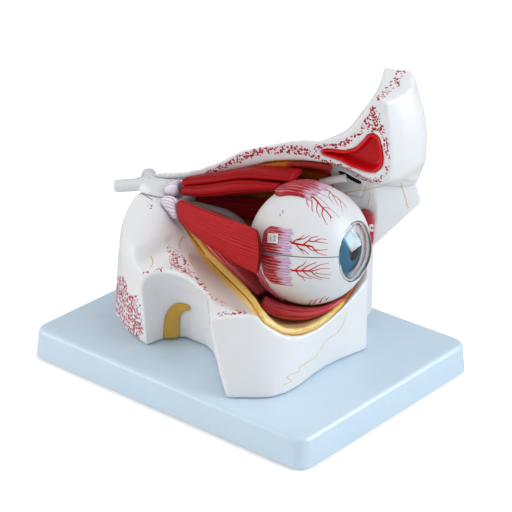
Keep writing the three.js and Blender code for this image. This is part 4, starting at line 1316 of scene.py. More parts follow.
@dataclass
class Bones:
    """The two skull bones, their sinus and the orbit's lining."""

    voxel: float = 1.1 * MM
    crisp_angle: float = 38.0
    crisp_reach: float = 3.2 * MM
    least_weight: float = 0.22
    seam_reach: float = 3 * MM
    seam_push: float = 1.1 * MM
    edge_radius: float = 1.2 * MM
    soft_spots: tuple[tuple[Triple, float], ...] = (((-62, -14, 84), 30.0),)
    marrow: tuple[Band, ...] = (
        Band([(205, 174), (218, 169), (230, 163), (240, 158)], [1.5, 2.4, 3, 3.6], 1.0),
        Band([(240, 158), (250, 154), (262, 151), (285, 150), (303, 150.5), (313, 154)],
             [3, 4, 4, 4, 4, 3], 0.95),
        Band([(313, 154), (325, 161), (340, 166), (352, 172), (362, 178), (372, 181), (381, 180)],
             [1.8, 1.5, 1.5, 1.5, 2, 2, 1.5], 0.95),
        Band([(381, 180), (387, 171), (388, 155), (385, 140), (382, 130)], [1.6, 1.8, 1.8, 1.8, 2], 0.85),
        Band([(374, 110), (374, 118), (372, 126), (381, 128)], [4, 6, 6, 3], 1.0),
        Band([(366, 120), (363, 129), (354, 138), (344, 144), (330, 146), (314, 148)],
             [2, 2.5, 2.5, 3, 2, 2], 0.9),
        Band([(379, 97), (388, 91), (396, 83), (399, 74), (402, 67)], [3, 4, 4, 4, 5], 0.6),
        Band([(121, 280), (121, 292), (125, 305), (131, 318), (137, 335)], [4, 7, 11, 10, 4], 0.97),
        Band([(135, 298), (138, 315), (140, 332)], [3, 4, 4], 0.8),
        Band([(143, 273), (155, 271), (166, 268)], [1, 1.5, 2], 0.7),
        Band([(169, 248), (174, 254), (178, 262), (186, 270)], [2, 4, 9, 4], 0.7),
        Band([(186, 270), (195, 277), (205, 288), (214, 298), (222, 304)], [3, 2.5, 2, 1.5, 1.5], 0.55),
        Band([(218, 315), (226, 313), (236, 312), (244, 312.5)], [1.5, 2.5, 2.5, 1.5], 0.7),
        Band([(147, 203), (149, 206), (154, 206.5)], [1, 1.6, 1], 0.5),
    )
    # Bands of painted brown shade: beside the lining, in the valley by the column, about the nose and at a nerve
    # opening
    painted_shade: tuple[Band, ...] = (
        Band([(194, 259), (208, 277), (223, 295), (241, 306), (256, 312)], [5, 10, 10, 7, 3], 0.68, 5.0),
        Band([(168, 238), (167, 248)], [3, 3], 0.3, 5.0),
        Band([(330, 189), (345, 186), (360, 186), (369, 187)], [2, 4, 4, 2], 0.25, 3.0),
        Band([(405, 178), (415, 172), (424, 166)], [3, 3, 3], 0.25, 4.0),
        Band([(150, 178), (151, 179)], [1, 1], 0.8, 1.5),
    )
    # Where the lining's floor takes painted light, against the shade below the oblique muscle
    painted_floor_light: tuple[Band, ...] = (
        Band([(264, 320), (276, 326), (292, 328), (312, 324), (326, 316)], [9, 12, 13, 11, 6], 0.85, 5.0),
    )
    flesh: tuple[Band, ...] = (
        Band([(290, 164), (305, 164), (320, 165), (334, 170)], [3, 7, 9, 8], 0.9, 3.0),
    )
    edge: tuple[Band, ...] = (
        Band([(184, 223), (189, 232), (200, 249), (210, 262), (224, 277), (238, 292), (248, 303), (256, 315)],
             [1, 2, 4, 4.8, 4.5, 3.5, 1.8, 1.2], 1.0, 1.0),
    )
    edge_lines: dict[str, list[list[Pixel]]] = field(default_factory=lambda: {
        "lining_edge": [[
            (190, 232), (200.8, 248.8), (211.4, 260.6), (226.4, 275), (240.4, 289), (251, 300.4), (258, 314),
            (266.6, 323.4), (277, 330.6), (290.4, 333.4), (304, 331.8), (319.8, 325.4), (331.6, 315.2),
            (343.2, 302),
        ]],
        "roof_edge": [[(257, 164.6), (268, 161.8), (284, 160.4), (298, 160.4), (314, 161.6), (328, 163.6)]],
    })
    yellow: tuple[Band, ...] = (
        Band([(184, 226), (200, 250), (215, 268), (230, 284), (245, 298), (260, 314)],
             [9, 9, 9, 10, 11, 12], 1.0, 4.0),
        Band([(260, 318), (275, 326), (292, 330), (312, 327), (330, 318), (342, 306)],
             [14, 15, 15, 13, 10, 5], 1.0, 5.0),
    )

    def build(self, nodes: dict[str, Piece]) -> Surface:
        """Builds and paints the bones, their sinus and the lining.

        Args:
            nodes: The CAD nodes by name.

        Returns:
            The bones' skin.
        """
        orbit = self.soft_bone(nodes["orbit_bone"], "orbit_bone_cast")
        frontal = self.soft_bone(nodes["frontal_bone"], "frontal_bone_cast")
        self.close_seam(frontal, Surface(orbit))
        skin = Surface(orbit, frontal)
        for obj, node in ((orbit, "orbit_bone"), (frontal, "frontal_bone")):
            self.paint(obj, skin, "marrow", self.marrow)
            self.paint(obj, skin, "painted_shade", self.painted_shade)
            self.paint(obj, skin, "rim", self.edge)
            finish_piece(obj, Body.STAND, Slot.BONE, BONE, [node])
        sinus = self.soft_copy(nodes["frontal_sinus_lining"], "sinus_lacquer", 0.7 * MM, 45, 0.35 * MM)
        finish_piece(sinus, Body.STAND, Slot.SINUS, SINUS_RED, ["frontal_sinus_lining"])
        lining = self.build_lining(nodes["periorbita_lining"], skin)
        edge_skin = Surface(orbit, frontal, lining)
        for name, finish in (("lining_edge", EDGE_YELLOW), ("roof_edge", EDGE_ORANGE)):
            lines = [evened(laid_line(route, edge_skin, self.edge_radius)) for route in self.edge_lines[name]]
            finish_piece(raised_lines(name, lines), Body.STAND, Slot.LINING, finish)
        return skin

    def soft_bone(self, node: Piece, name: str) -> Piece:
        """Recasts a bone's CAD solid without its facets, keeping its cut edges crisp.

        Args:
            node: The CAD node.
            name: The piece's name.

        Returns:
            The recast bone.
        """
        obj = merged_copy(node, name)
        crisp = self.crisp_places(obj)
        apply_modifier(obj, "REMESH", mode="VOXEL", voxel_size=self.voxel)
        places = positions(obj)
        tree = KDTree(len(crisp))
        for i, place in enumerate(crisp):
            tree.insert(place, i)
        tree.balance()
        apart = np.array([tree.find(p)[2] for p in places])
        weight = np.clip((apart - 0.5 * MM) / self.crisp_reach, self.least_weight, 1)
        for centre, radius in self.soft_spots:
            near = np.linalg.norm(places - np.array(centre) * MM, axis=1) / (radius * MM)
            weight = np.maximum(weight, np.clip(2.2 - 2 * near, 0, 1))
        self.relax(obj, weight, 40)
        smooth_shading(obj)
        return obj

    def close_seam(self, obj: Piece, beside: Surface) -> None:
        """Moves the skin that faces another bone closely into that bone, so that no dark seam shows.

        Args:
            obj: The bone whose skin moves.
            beside: The other bone's skin.
        """
        places = positions(obj)
        near = np.array([beside.tree.find_nearest(Vector(p))[3] or 1.0 for p in places])
        push = np.clip((self.seam_reach - near) / self.seam_reach, 0, 1) * self.seam_push
        set_positions(obj, places + vertex_normals(obj) * push[:, None])

    def crisp_places(self, obj: Piece) -> list[Vector]:
        """Places along the edges that stay crisp.

        Args:
            obj: The bone.

        Returns:
            The places, about a millimetre apart.
        """
        mesh = bmesh.new()
        mesh.from_mesh(obj.data)
        limit = math.radians(self.crisp_angle)
        crisp = []
        for edge in mesh.edges:
            if len(edge.link_faces) == 2 and edge.calc_face_angle(0) > limit:
                start, end = (v.co for v in edge.verts)
                steps = max(1, int((end - start).length / MM))
                crisp += [start.lerp(end, i / steps) for i in range(steps + 1)]
        mesh.free()
        return crisp

    def relax(self, obj: Piece, weight: np.ndarray, rounds: int) -> None:
        """Smooths a mesh by rounds, each vertex by its own weight.

        Args:
            obj: The mesh.
            weight: One weight a vertex.
            rounds: Number of rounds.
        """
        group = obj.vertex_groups.new(name="relax")
        levels = np.round(np.clip(weight, 0, 1) * 50) / 50
        for level in np.unique(levels):
            group.add(np.nonzero(levels == level)[0].tolist(), float(level), "REPLACE")
        apply_modifier(obj, "SMOOTH", factor=0.5, iterations=rounds, vertex_group="relax")
        obj.vertex_groups.clear()

    def soft_copy(self, node: Piece, name: str, voxel: float, rounds: int, swell: float = 0.0) -> Piece:
        """Recasts a CAD solid without its facets, all over alike.

        Args:
            node: The CAD node.
            name: The piece's name.
            voxel: Size of the recast's cells.
            rounds: Rounds of smoothing.
            swell: How far the skin then moves out, to close the seam with the bone around it.

        Returns:
            The recast piece.
        """
        obj = merged_copy(node, name)
        apply_modifier(obj, "REMESH", mode="VOXEL", voxel_size=voxel)
        apply_modifier(obj, "SMOOTH", factor=0.5, iterations=rounds)
        if swell:
            apply_modifier(obj, "DISPLACE", strength=swell, mid_level=0.0)
        smooth_shading(obj)
        return obj

    def paint(self, obj: Piece, skin: Surface, name: str, bands: Sequence[Band]) -> None:
        """Stores how strongly the photographed bands cover each vertex that the camera sees.

        Args:
            obj: The piece.
            skin: What can hide it.
            name: The stored number's name.
            bands: The bands.
        """
        places = positions(obj)
        pixels = CAMERA.pixels(places)
        values = np.zeros(len(places))
        for band in bands:
            values = np.maximum(values, band.shares(pixels))
        to_camera = np.array(CAMERA.centre) - places
        facing = np.einsum("ij,ij->i", vertex_normals(obj), to_camera) / np.linalg.norm(to_camera, axis=1)
        values[facing < 0.03] = 0
        for i in np.nonzero(values > 0)[0]:
            if skin.hides(Vector(places[i])):
                values[i] = 0
        set_attribute(obj, name, values)

    def build_lining(self, node: Piece, skin: Surface) -> Piece:
        """Recasts the lining and paints its edges, its red back and painted light on its floor.

        Args:
            node: The CAD node.
            skin: What can hide it.

        Returns:
            The lining.
        """
        obj = self.soft_copy(node, "periorbita_sheet", 0.9 * MM, 7, 0.85 * MM)
        self.paint(obj, skin, "rim", self.yellow)
        self.paint(obj, skin, "flesh", self.flesh)
        self.paint(obj, skin, "painted_floor_light", self.painted_floor_light)
        return finish_piece(obj, Body.STAND, Slot.LINING, LINING, ["periorbita_lining"])


@dataclass
class BonePaint:
    """Thin painted lines on the bones: sutures, nerve openings, slits and a painted shadow under the sinus edge, by
    photograph pixels.
    """

    sutures: Routes = (
        [(369, 191), (370, 197), (368.5, 203), (368, 209)],
        [(337, 190), (343, 193), (350, 192), (358, 190.5), (366, 190), (376, 187.5), (386, 185),
         (396, 181.5)],
        [(400, 181), (403, 190), (406, 200), (409, 211)],
        [(347, 305), (348, 310), (344, 322), (338, 332), (332, 336), (325, 342), (322, 348), (315, 357),
         (308, 362), (300, 367), (299, 371), (292, 374), (287, 377), (291, 381), (285, 384), (281, 388), (280, 392)],
        [(207, 296), (208, 306), (209.5, 318), (210, 328)],
        [(402, 181), (407, 179.5), (412, 181), (417, 178)],
    )
    marks: Routes = (
        [(149.5, 255), (152, 259), (152.5, 264), (150, 269)],
        [(184, 234), (181, 239), (179, 245), (180.5, 250)],
        [(190.5, 251), (189, 256), (190, 262), (193, 267), (198, 274)],
        [(193, 175.5), (194, 176.5)],
        [(205, 294.5), (208, 294.8), (210, 294)],
    )
    # Brown slit: painted shade of its depth
    slits: Routes = (
        [(136, 193.5), (142, 194), (147, 196.5), (151, 199), (153.5, 201)],
    )
    # Painted shadow: a black line under the sinus edge
    slots: Routes = (
        [(337, 170.5), (342, 173), (347, 175.5), (352, 178.5), (358, 181.5), (364, 183.5)],
    )
    red_spots: tuple[Pixel, ...] = ((148, 202), (148, 206), (152, 206))

    def build(self, skin: Surface) -> None:
        """Lays each group of lines on the bones' skin.

        Args:
            skin: The bones' skin.
        """
        groups = (
            ("suture_lines", self.sutures, 0.42 * MM, SUTURE_PAINT),
            ("nerve_openings", self.marks, 0.55 * MM, SUTURE_PAINT),
            ("periosteum_slit", self.slits, 0.4 * MM, BROWN_PAINT),
            ("sinus_edge_shadow", self.slots, 2.2 * MM, SHADOW_BLACK),
            ("marrow_spots", [spot_route(p, 0.5) for p in self.red_spots], 0.5 * MM, VESSEL),
        )
        for name, routes, radius, finish in groups:
            finish_piece(painted_lines(name, routes, skin, radius), Body.STAND, Slot.BONE, finish)


def spot_route(pixel: Pixel, length: float) -> list[Pixel]:
    """Short level route through a pixel, which draws a spot."""
    x, y = pixel
    return [(x - length / 2, y), (x, y), (x + length / 2, y)]


def route_length(route: Sequence[Pixel]) -> float:
    """Length of a route in pixels."""
    return sum(math.dist(a, b) for a, b in zip(route, route[1:]))


def laid_line(route: Sequence[Pixel], skin: Surface, radius: float) -> Line:
    """Places along a route on a skin, sunk so that only a low ridge shows.

    Args:
        route: Pixels along the line.
        skin: What it lies on.
        radius: The line's radius.

    Returns:
        Places and radii, where the camera sees the skin.
    """
    line = Spline(route)
    count = max(6, int(route_length(route) * 1.2))
    found = []
    for i in range(count):
        share = i / (count - 1)
        hit = skin.seen(tuple(line.at(share)))
        if hit:
            place, normal = hit
            taper = min(1.0, 0.35 + 4 * min(share, 1 - share))
            found.append((place - normal * radius * 0.55, radius * taper))
    return found


def painted_lines(name: str, routes: Iterable[Sequence[Pixel]], skin: Surface, radius: float) -> Piece:
    """Raises a line along each route that the camera sees on a skin.

    Args:
        name: The piece's name.
        routes: Pixels along each line.
        skin: What they lie on.
        radius: The lines' radius.

    Returns:
        The piece.
    """
    lines = [laid_line(route, skin, radius) for route in routes]
    return raised_lines(name, [line for line in lines if len(line) > 2])


def evened(line: Line, rounds: int = 12, longest: float = 2.2 * MM) -> Line:
    """Leaves the jumps out of a laid line and smooths its small steps, with its ends kept.

    Args:
        line: The laid line.
        rounds: Rounds of smoothing.
        longest: The longest step kept.

    Returns:
        The evened line.
    """
    kept = line[:1]
    skipped = 1
    for place, radius in line[1:]:
        if (place - kept[-1][0]).length < longest * skipped:
            kept.append((place, radius))
            skipped = 1
        else:
            skipped += 1
    line = kept
    places = [place for place, _ in line]
    for _ in range(rounds):
        inner = [(a + 2 * b + c) / 4 for a, b, c in zip(places, places[1:], places[2:])]
        places = [places[0], *inner, places[-1]]
    return [(place, radius) for place, (_, radius) in zip(places, line)]


# Muscles, tendons and nerves of the orbit


def stations_of(rows: Sequence[Sequence]) -> list[Station]:
    """Stations from rows of place, width, thickness, direction and camber."""
    return [Station(*row) for row in rows]


@dataclass
class OrbitContents:
    """Muscles, tendon rings and nerves that stay with the stand."""

    muscles: dict[str, list[Station]] = field(default_factory=lambda: {
        "lateral_rectus": stations_of([
            ((-44.8, -12.9, 95.5), 15, 5, (0.05, -0.1, 1)), ((-25, -17, 93.7), 21.4, 6, (0.05, -0.05, 1)),
            ((0, -22.5, 94.5), 24.8, 6, (0.02, 0, 1), 0.4), ((19, -28.4, 97.3), 26.8, 5, (0, 0.05, 1), 1.5),
            ((36.4, -32, 98.9), 27.5, 2, (-0.05, 0.08, 1), 2.2)]),
        "levator_palpebrae": stations_of([
            ((-52.2, 0.6, 107.8), 9.5, 5.6, (0, 1, 0)), ((-30, 6, 115.2), 14, 5.4, (0, 1, 0.05)),
            ((-8, 14, 121.8), 18, 4.8, (0, 1, 0.02)), ((18.6, 22.5, 124.6), 20, 4, (0, 1, 0))]),
        "superior_rectus": stations_of([
            ((-49.8, -2.6, 103.8), 9.5, 6, (0, 1, -0.1)), ((-30, 0, 108.6), 12, 8, (0, 1, -0.15)),
            ((-8, 5, 115.4), 13, 8.4, (0, 1, -0.25)), ((15.4, 10.5, 120), 13, 4.6, (0, 1, -0.25))]),
        "medial_rectus": stations_of([
            ((-48, 5, 94.2), 8, 4, (0, 0.05, -1)), ((-28, 18, 92.4), 13, 5, (0, 0.05, -1)),
            ((-6, 31, 90.8), 15.6, 5, (0, 0.05, -1), 0.5),
            ((12, 40.5, 89.4), 16.6, 3.6, (0, 0.05, -1), 1.8)]),
        "inferior_rectus": stations_of([
            ((-48, -3, 88), 9, 4, (0, -1, 0.15)), ((-28, -6.3, 80), 13, 5, (0, -1, 0.2)),
            ((-4, -8.6, 69.2), 17, 5.4, (0, -1, 0.25)), ((20, -7.5, 57), 20, 4, (0, -1, 0.3), -1.2)]),
        "inferior_oblique": stations_of([
            ((27, -18.6, 58), 12.5, 8, (-0.35, -0.75, 0.55)),
            ((38, -13.4, 53.7), 15.2, 8.8, (-0.1, -0.9, 0.4)),
            ((49.3, -6.5, 52.9), 13.5, 7.6, (0.35, -0.85, 0.35)), ((57.1, 3, 55), 9.5, 4.2, (0.6, -0.7, 0.3)),
            ((61.2, 13.5, 58.9), 6, 1.6, (0.75, -0.5, 0.4))]),
        "superior_oblique": stations_of([
            ((-44, 9.6, 103.2), 5.5, 2.6, (0, 0.6, -0.8)), ((-24, 24.4, 108.6), 8.5, 3.8, (0, 0.6, -0.8)),
            ((-4, 32.6, 113.6), 9, 4, (0, 0.6, -0.8)), ((18.6, 39.4, 113.4), 5.5, 3.4, (0, 0.6, -0.8))]),
    })
    tendons: dict[str, list[Station]] = field(default_factory=lambda: {
        "tendon_ring_upper": stations_of([
            ((-62.8, -4.2, 102), 9, 6.6, (0, 1, 0.2)), ((-58.8, -3.4, 103.2), 11, 9, (0, 1, 0)),
            ((-54, -2.2, 104.4), 11, 9.4, (0, 1, -0.1))]),
        "tendon_ring_lower": stations_of([
            ((-60, -11.6, 93.6), 11, 4, (0.1, -0.1, 1)), ((-54, -12.1, 94.6), 15, 5, (0.05, -0.1, 1)),
            ((-46.7, -12.7, 95.4), 15, 5.2, (0.05, -0.1, 1))]),
    })
    maxillary: list[Station] = field(default_factory=lambda: stations_of([
        ((-31.5, -36.5, 21), 10.6, 3.2, (0.6, 0.8, 0)), ((-31.6, -36.2, 28), 10, 3.2, (0.6, 0.8, 0)),
        ((-31, -35.3, 36), 9, 3, (0.65, 0.75, 0.2)), ((-27.6, -33.4, 41.6), 7, 2.6, (0.5, 0.25, -0.7)),
        ((-20.6, -31.6, 43.6), 3.4, 1.8, (0.1, 0.2, -1))]))
    strands: dict[str, float] = field(default_factory=lambda: {
        "lateral_rectus": 18, "levator_palpebrae": 11, "superior_rectus": 9, "medial_rectus": 11,
        "inferior_rectus": 10, "inferior_oblique": 5, "superior_oblique": 6,
    })
    sac_opening: Pixel = (371.4, 228)
    stalk_openings: tuple[Pixel, ...] = ((138, 178.5), (149.5, 178))
    finishes: dict[str, Finish] = field(default_factory=lambda: {
        "inferior_rectus": MUSCLE_WET, "inferior_oblique": MUSCLE_WET,
        "medial_rectus": MUSCLE_SHADED, "superior_oblique": MUSCLE_SHADED,
        "levator_palpebrae": MUSCLE_ROOF_SHADED, "superior_rectus": MUSCLE_ROOF_SHADED,
    })

    def build(self, nodes: dict[str, Piece], bones: Bones) -> None:
        """Builds every soft piece of the orbit.

        Args:
            nodes: The CAD nodes by name.
            bones: The bones, which recast in the same way.
        """
        for name, stations in self.muscles.items():
            belly = Belly(f"{name}_belly", stations, strands=self.strands[name])
            self.finish_belly(belly, Slot.MUSCLE, self.finishes.get(name, MUSCLE), name)
        for name, stations in self.tendons.items():
            belly = Belly(
                f"{name}_block", stations, strands=6, groove=0.7, around=64, along=36, end_round=0.2, tip=0.5,
            )
            self.finish_belly(belly, Slot.TENDON, TENDON, name)
        chiasm = bones.soft_copy(nodes["optic_chiasm"], "optic_chiasm_cast", 0.8 * MM, 24)
        finish_piece(chiasm, Body.STAND, Slot.NERVE, NERVE, ["optic_chiasm"])
        # Brown spots on the stalk's openings: painted shade of their depth
        spots = [spot_route(pixel, 0.8) for pixel in self.stalk_openings]
        openings = painted_lines("brown_openings", spots, Surface(chiasm), 0.55 * MM)
        finish_piece(openings, Body.STAND, Slot.NERVE, BROWN_PAINT)
        self.build_nerve(nodes)
        band = Belly(
            "maxillary_nerve_band", self.maxillary, strands=2, groove=0, along=40, end_round=0.05, tip=0.6,
        )
        self.finish_belly(band, Slot.NERVE_YELLOW, NERVE_YELLOW, "maxillary_nerve")
        rod = bones.soft_copy(nodes["superior_oblique_tendon"], "pulley_tendon", 0.5 * MM, 8)
        finish_piece(rod, Body.STAND, Slot.NERVE, PULLEY_WHITE, ["superior_oblique_tendon"])
        sac = bones.soft_copy(nodes["lacrimal_sac"], "lacrimal_sac_cast", 0.6 * MM, 12)
        finish_piece(sac, Body.STAND, Slot.GLAND, GLAND, ["lacrimal_sac"])
        self.build_sac_ring(Surface(sac))

    def finish_belly(self, belly: Belly, slot: Slot, finish: Finish, node: str) -> None:
        """Builds a belly and dresses it in its node's stead.

        Args:
            belly: The belly.
            slot: The material slot.
            finish: Its surface.
            node: The CAD node that it stands for.
        """
        obj = belly.build()
        smooth_shading(obj, 50)
        finish_piece(obj, Body.STAND, slot, finish, [node])

    def build_sac_ring(self, skin: Surface) -> None:
        """Paints the white ring and the red opening on the tear sac.

        Args:
            skin: The sac's skin.
        """
        x, y = self.sac_opening
        turns = [2 * math.pi * i / 24 for i in range(25)]
        ring = [(x + 1.9 * math.cos(a), y + 2.6 * math.sin(a)) for a in turns]
        for name, route, radius, finish in (
            ("sac_ring", ring, 1.0 * MM, PULLEY_WHITE),
            ("sac_opening", spot_route((x, y), 0.6), 0.7 * MM, VESSEL),
        ):
            finish_piece(painted_lines(name, [route], skin, radius), Body.STAND, Slot.GLAND, finish)

    def build_nerve(self, nodes: dict[str, Piece]) -> None:
        """Recasts the grey optic nerve behind the ball.

        Args:
            nodes: The CAD nodes by name.
        """
        obj = merged_copy(nodes["optic_nerve"], "optic_nerve_cord")
        apply_modifier(obj, "REMESH", mode="VOXEL", voxel_size=0.7 * MM)
        apply_modifier(obj, "SMOOTH", factor=0.5, iterations=16)
        apply_modifier(obj, "DISPLACE", strength=-1.0 * MM, mid_level=0.0)
        smooth_shading(obj)
        finish_piece(obj, Body.STAND, Slot.NERVE_GREY, NERVE_GREY, ["optic_nerve"])


# Eyeball


@dataclass
class EyeFrame:
    """The eye's own axes: forwards along its axis, and square to the split."""

    centre: Triple = (39.2, 10, 89.7)
    yaw: float = 7.3
    pitch: float = 5.5
    roll: float = 11.0

    def matrix(self) -> Matrix:
        """Places the eye's frame: +X forwards, +Z square to the split, in metres.

        Returns:
            The matrix.
        """
        yaw, pitch, roll = (math.radians(v) for v in (self.yaw, self.pitch, self.roll))
        forward = Vector((math.cos(yaw) * math.cos(pitch), math.sin(yaw) * math.cos(pitch), math.sin(pitch)))
        inward = Vector((0, 0, 1)).cross(forward).normalized()
        up = forward.cross(inward)
        across = inward * math.cos(roll) - up * math.sin(roll)
        normal = up * math.cos(roll) + inward * math.sin(roll)
        turn = Matrix((forward, across, normal)).transposed().to_4x4()
        return Matrix.Translation(Vector(self.centre) * MM) @ turn


@dataclass
class Eyeball:
    """Nested shells, iris, cornea, lens and vitreous body, and what is painted on the ball."""

    frame: EyeFrame = field(default_factory=EyeFrame)
    radius: float = 36.4 * MM
    sclera_wall: float = 3 * MM
    choroid_wall: float = 2.1 * MM
    shell_gap: float = 0.6 * MM
    limbus: float = 30.5
    split_gap: float = 0.6 * MM
    nerve_hole: float = 5 * MM
    coat_front: float = 28 * MM
    coat_back: float = 24.2 * MM
    coat_bore: float = 14.2 * MM
    cornea_top: float = 38.5 * MM
    cornea_wall: float = 1.2 * MM
    cornea_seat: float = 29.7 * MM
    lens_radius: float = 13.6 * MM
    lens_middle: float = 23.6 * MM
    lens_curves: Pair = (30 * MM, 18 * MM)
    dish_flat: float = 23.4 * MM
    dish_room: float = 0.4 * MM
    bead_start: float = 0.36
    vessel_scale: float = 1.2

    @property
    def middle(self) -> Vector:
        """The ball's middle, in metres."""
        return Vector(self.frame.centre) * MM

    @property
    def coat_radius(self) -> float:
        """Outer radius of the brown coat inside the white shell."""
        return self.radius - self.sclera_wall - self.shell_gap

    def place(self, obj: Piece) -> None:
        """Moves a mesh from the eye's frame into the model's."""
        obj.data.transform(self.frame.matrix())
        obj.data.update()

    def finish(
        self, obj: Piece, body: Body, slot: Slot, finish: Finish, node: str, sharp_above: float = 40
    ) -> None:
        """Moves a turned piece to its place, shades it and dresses it in its node's stead.

        Args:
            obj: The piece.
            body: The CAD body that it rides on.
            slot: The material slot.
            finish: Its surface.
            node: The CAD node that it stands for.
            sharp_above: Edges over this angle stay sharp.
        """
        self.place(obj)
        smooth_shading(obj, sharp_above)
        finish_piece(obj, body, slot, finish, [node])

    def turned(self, name: str, profile: Sequence[Pair], steps: int = 96) -> Piece:
        """Spins a closed profile of radius and distance forwards about the eye's axis.

        Args:
            name: The piece's name.
            profile: Pairs of radius and distance along the axis, in metres, as a closed outline.
            steps: Number of sides.

        Returns:
            The turned body in the eye's frame.
        """
        mesh = bpy.data.meshes.new(name)
        points = [(forward, radius, 0.0) for radius, forward in profile]
        edges = [(i, (i + 1) % len(points)) for i in range(len(points))]
        mesh.from_pydata(points, edges, [])
        obj = bpy.data.objects.new(name, mesh)
        bpy.context.scene.collection.objects.link(obj)
        only(obj)
        bpy.ops.object.mode_set(mode="EDIT")
        bpy.ops.mesh.select_all(action="SELECT")
        bpy.ops.mesh.spin(steps=steps, angle=2 * math.pi, center=(0, 0, 0), axis=(1, 0, 0))
        bpy.ops.mesh.select_all(action="SELECT")
        bpy.ops.mesh.remove_doubles(threshold=0.005 * MM)
        bpy.ops.mesh.normals_make_consistent(inside=False)
        bpy.ops.object.mode_set(mode="OBJECT")
        return obj

    def half(self, obj: Piece, side: int) -> None:
        """Keeps the upper or lower half of a body and closes it at the split.

        Args:
            obj: The body.
            side: 1 for the upper half and -1 for the lower one.
        """
        only(obj)
        bpy.ops.object.mode_set(mode="EDIT")
        bpy.ops.mesh.select_all(action="SELECT")
        bpy.ops.mesh.bisect(
            plane_co=(0, 0, side * self.split_gap / 2), plane_no=(0, 0, side),
            use_fill=True, clear_inner=True,
        )
        bpy.ops.object.mode_set(mode="OBJECT")
        recalculate(obj)

    def arc(self, radius: float, start: float, end: float, steps: int, middle: float = 0.0) -> list[Pair]:
        """Pairs of radius and distance forwards along a circle, from angles in degrees."""
        angles = [math.radians(start + (end - start) * i / steps) for i in range(steps + 1)]
        return [(radius * math.sin(a), middle + radius * math.cos(a)) for a in angles]

    def build(self) -> None:
        """Builds the shells, the clear parts and the painted details."""
        self.build_sclera()
        self.build_choroid()
        self.build_iris()
        self.build_cornea()
        self.build_lens_and_vitreous()
        self.build_stump()
        self.build_bead()
        self.build_insertions()
        self.build_vessels()
        self.build_tag()
        self.build_numbers()

    def build_sclera(self) -> None:
        """Turns the white shell and parts it in two halves."""
        inner = self.radius - self.sclera_wall
        rear = 180 - math.degrees(math.asin(self.nerve_hole / self.radius))
        profile = self.arc(self.radius, self.limbus, rear, 48) + self.arc(inner, rear, self.limbus, 40)
        halves = ((1, "sclera_upper_half", Body.SCLERA_TOP), (-1, "sclera_lower_half", Body.EYEBALL))
        for side, name, body in halves:
            obj = self.turned(f"{name}_shell", profile, 120)
            self.half(obj, side)
            self.place(obj)
            apply_modifier(obj, "BEVEL", width=0.25 * MM, segments=2, limit_method="ANGLE", angle_limit=0.9)
            smooth_shading(obj, 40)
            finish_piece(obj, body, Slot.SCLERA, SCLERA, [name])

    def build_choroid(self) -> None:
        """Turns the brown coat inside the white shell, in two halves."""
        outer = self.coat_radius
        inner = outer - self.choroid_wall
        front, back, bore = self.coat_front, self.coat_back, self.coat_bore
        profile = self.arc(outer, math.degrees(math.acos(front / outer)), 179.9, 36)
        profile += self.arc(inner, 179.9, math.degrees(math.acos(back / inner)), 32)
        profile += [(bore, back), (bore, front)]
        upper = (1, "choroid_upper_half", Body.CHOROID_TOP)
        lower = (-1, "choroid_lower_half", Body.CHOROID_BOTTOM)
        for side, name, body in (upper, lower):
            obj = self.turned(f"{name}_coat", profile)
            self.half(obj, side)
            self.finish(obj, body, Slot.CHOROID, CHOROID, name)

    def build_iris(self) -> None:
        """Turns the iris disc, with its fibres' directions stored."""
        back, wall, bulge, outer, pupil, aside = 28.3, 0.8, 1.3, 16.0, 5.8, 2.5
        profile = [(outer, back), (outer, back + wall)]
        profile += [
            (outer + (pupil - outer) * w, back + wall + bulge * w * w * (3 - 2 * w))
            for w in np.linspace(0.08, 1, 12)
        ]
        # Rear face, dished like the front
        profile += [(pupil, back + bulge), (9, back + bulge * 0.7), (13, back + 0.1)]
        obj = self.turned("iris_disc", [(r * MM, h * MM) for r, h in profile])
        places = positions(obj)
        reach = np.hypot(places[:, 1], places[:, 2]) / (outer * MM)
        set_attribute(obj, "reach", reach)
        set_attribute(obj, "turn", np.abs(np.arctan2(places[:, 1], places[:, 2])) / math.pi)
        # Far side of the disc, which takes the black crescent and the painted refraction
        sideways = places[:, 1] / np.maximum(np.hypot(places[:, 1], places[:, 2]), MM)
        set_attribute(obj, "inner", np.clip(sideways * 2.2 + 0.9, 0, 1))
        set_attribute(obj, "deep", np.hypot(places[:, 1] + aside * MM, places[:, 2]) / (outer * MM))
        self.finish(obj, Body.CHOROID_BOTTOM, Slot.IRIS, IRIS_PAINT, "iris")

    def build_cornea(self) -> None:
        """Turns the clear dome with its rim."""
        edge = self.radius * math.sin(math.radians(self.limbus)) - 0.35 * MM
        height = self.radius * math.cos(math.radians(self.limbus)) + 0.15 * MM
        apex, wall, seat = self.cornea_top, self.cornea_wall, self.cornea_seat

        def dome(radius: float, base: float, top: float, steps: int) -> list[Pair]:
            """Outline of a dome from its rim to its top.

            Args:
                radius: Radius at the rim.
                base: The rim's distance forwards.
                top: The top's distance forwards.
                steps: Number of steps.

            Returns:
                Pairs of radius and distance forwards.
            """
            sag = top - base
            curve = (radius**2 + sag**2) / (2 * sag)
            return self.arc(curve, math.degrees(math.asin(radius / curve)), 0.05, steps, top - curve)

        inner = edge - 2 * MM
        profile = [(edge - 0.9 * MM, seat), *dome(edge, height, apex, 28)]
        profile += [*reversed(dome(inner, height - 0.6 * MM, apex - wall, 24)), (inner, seat)]
        obj = self.turned("cornea_dome", profile, 128)
        self.finish(obj, Body.EYEBALL, Slot.CORNEA, CORNEA_CLEAR, "cornea")

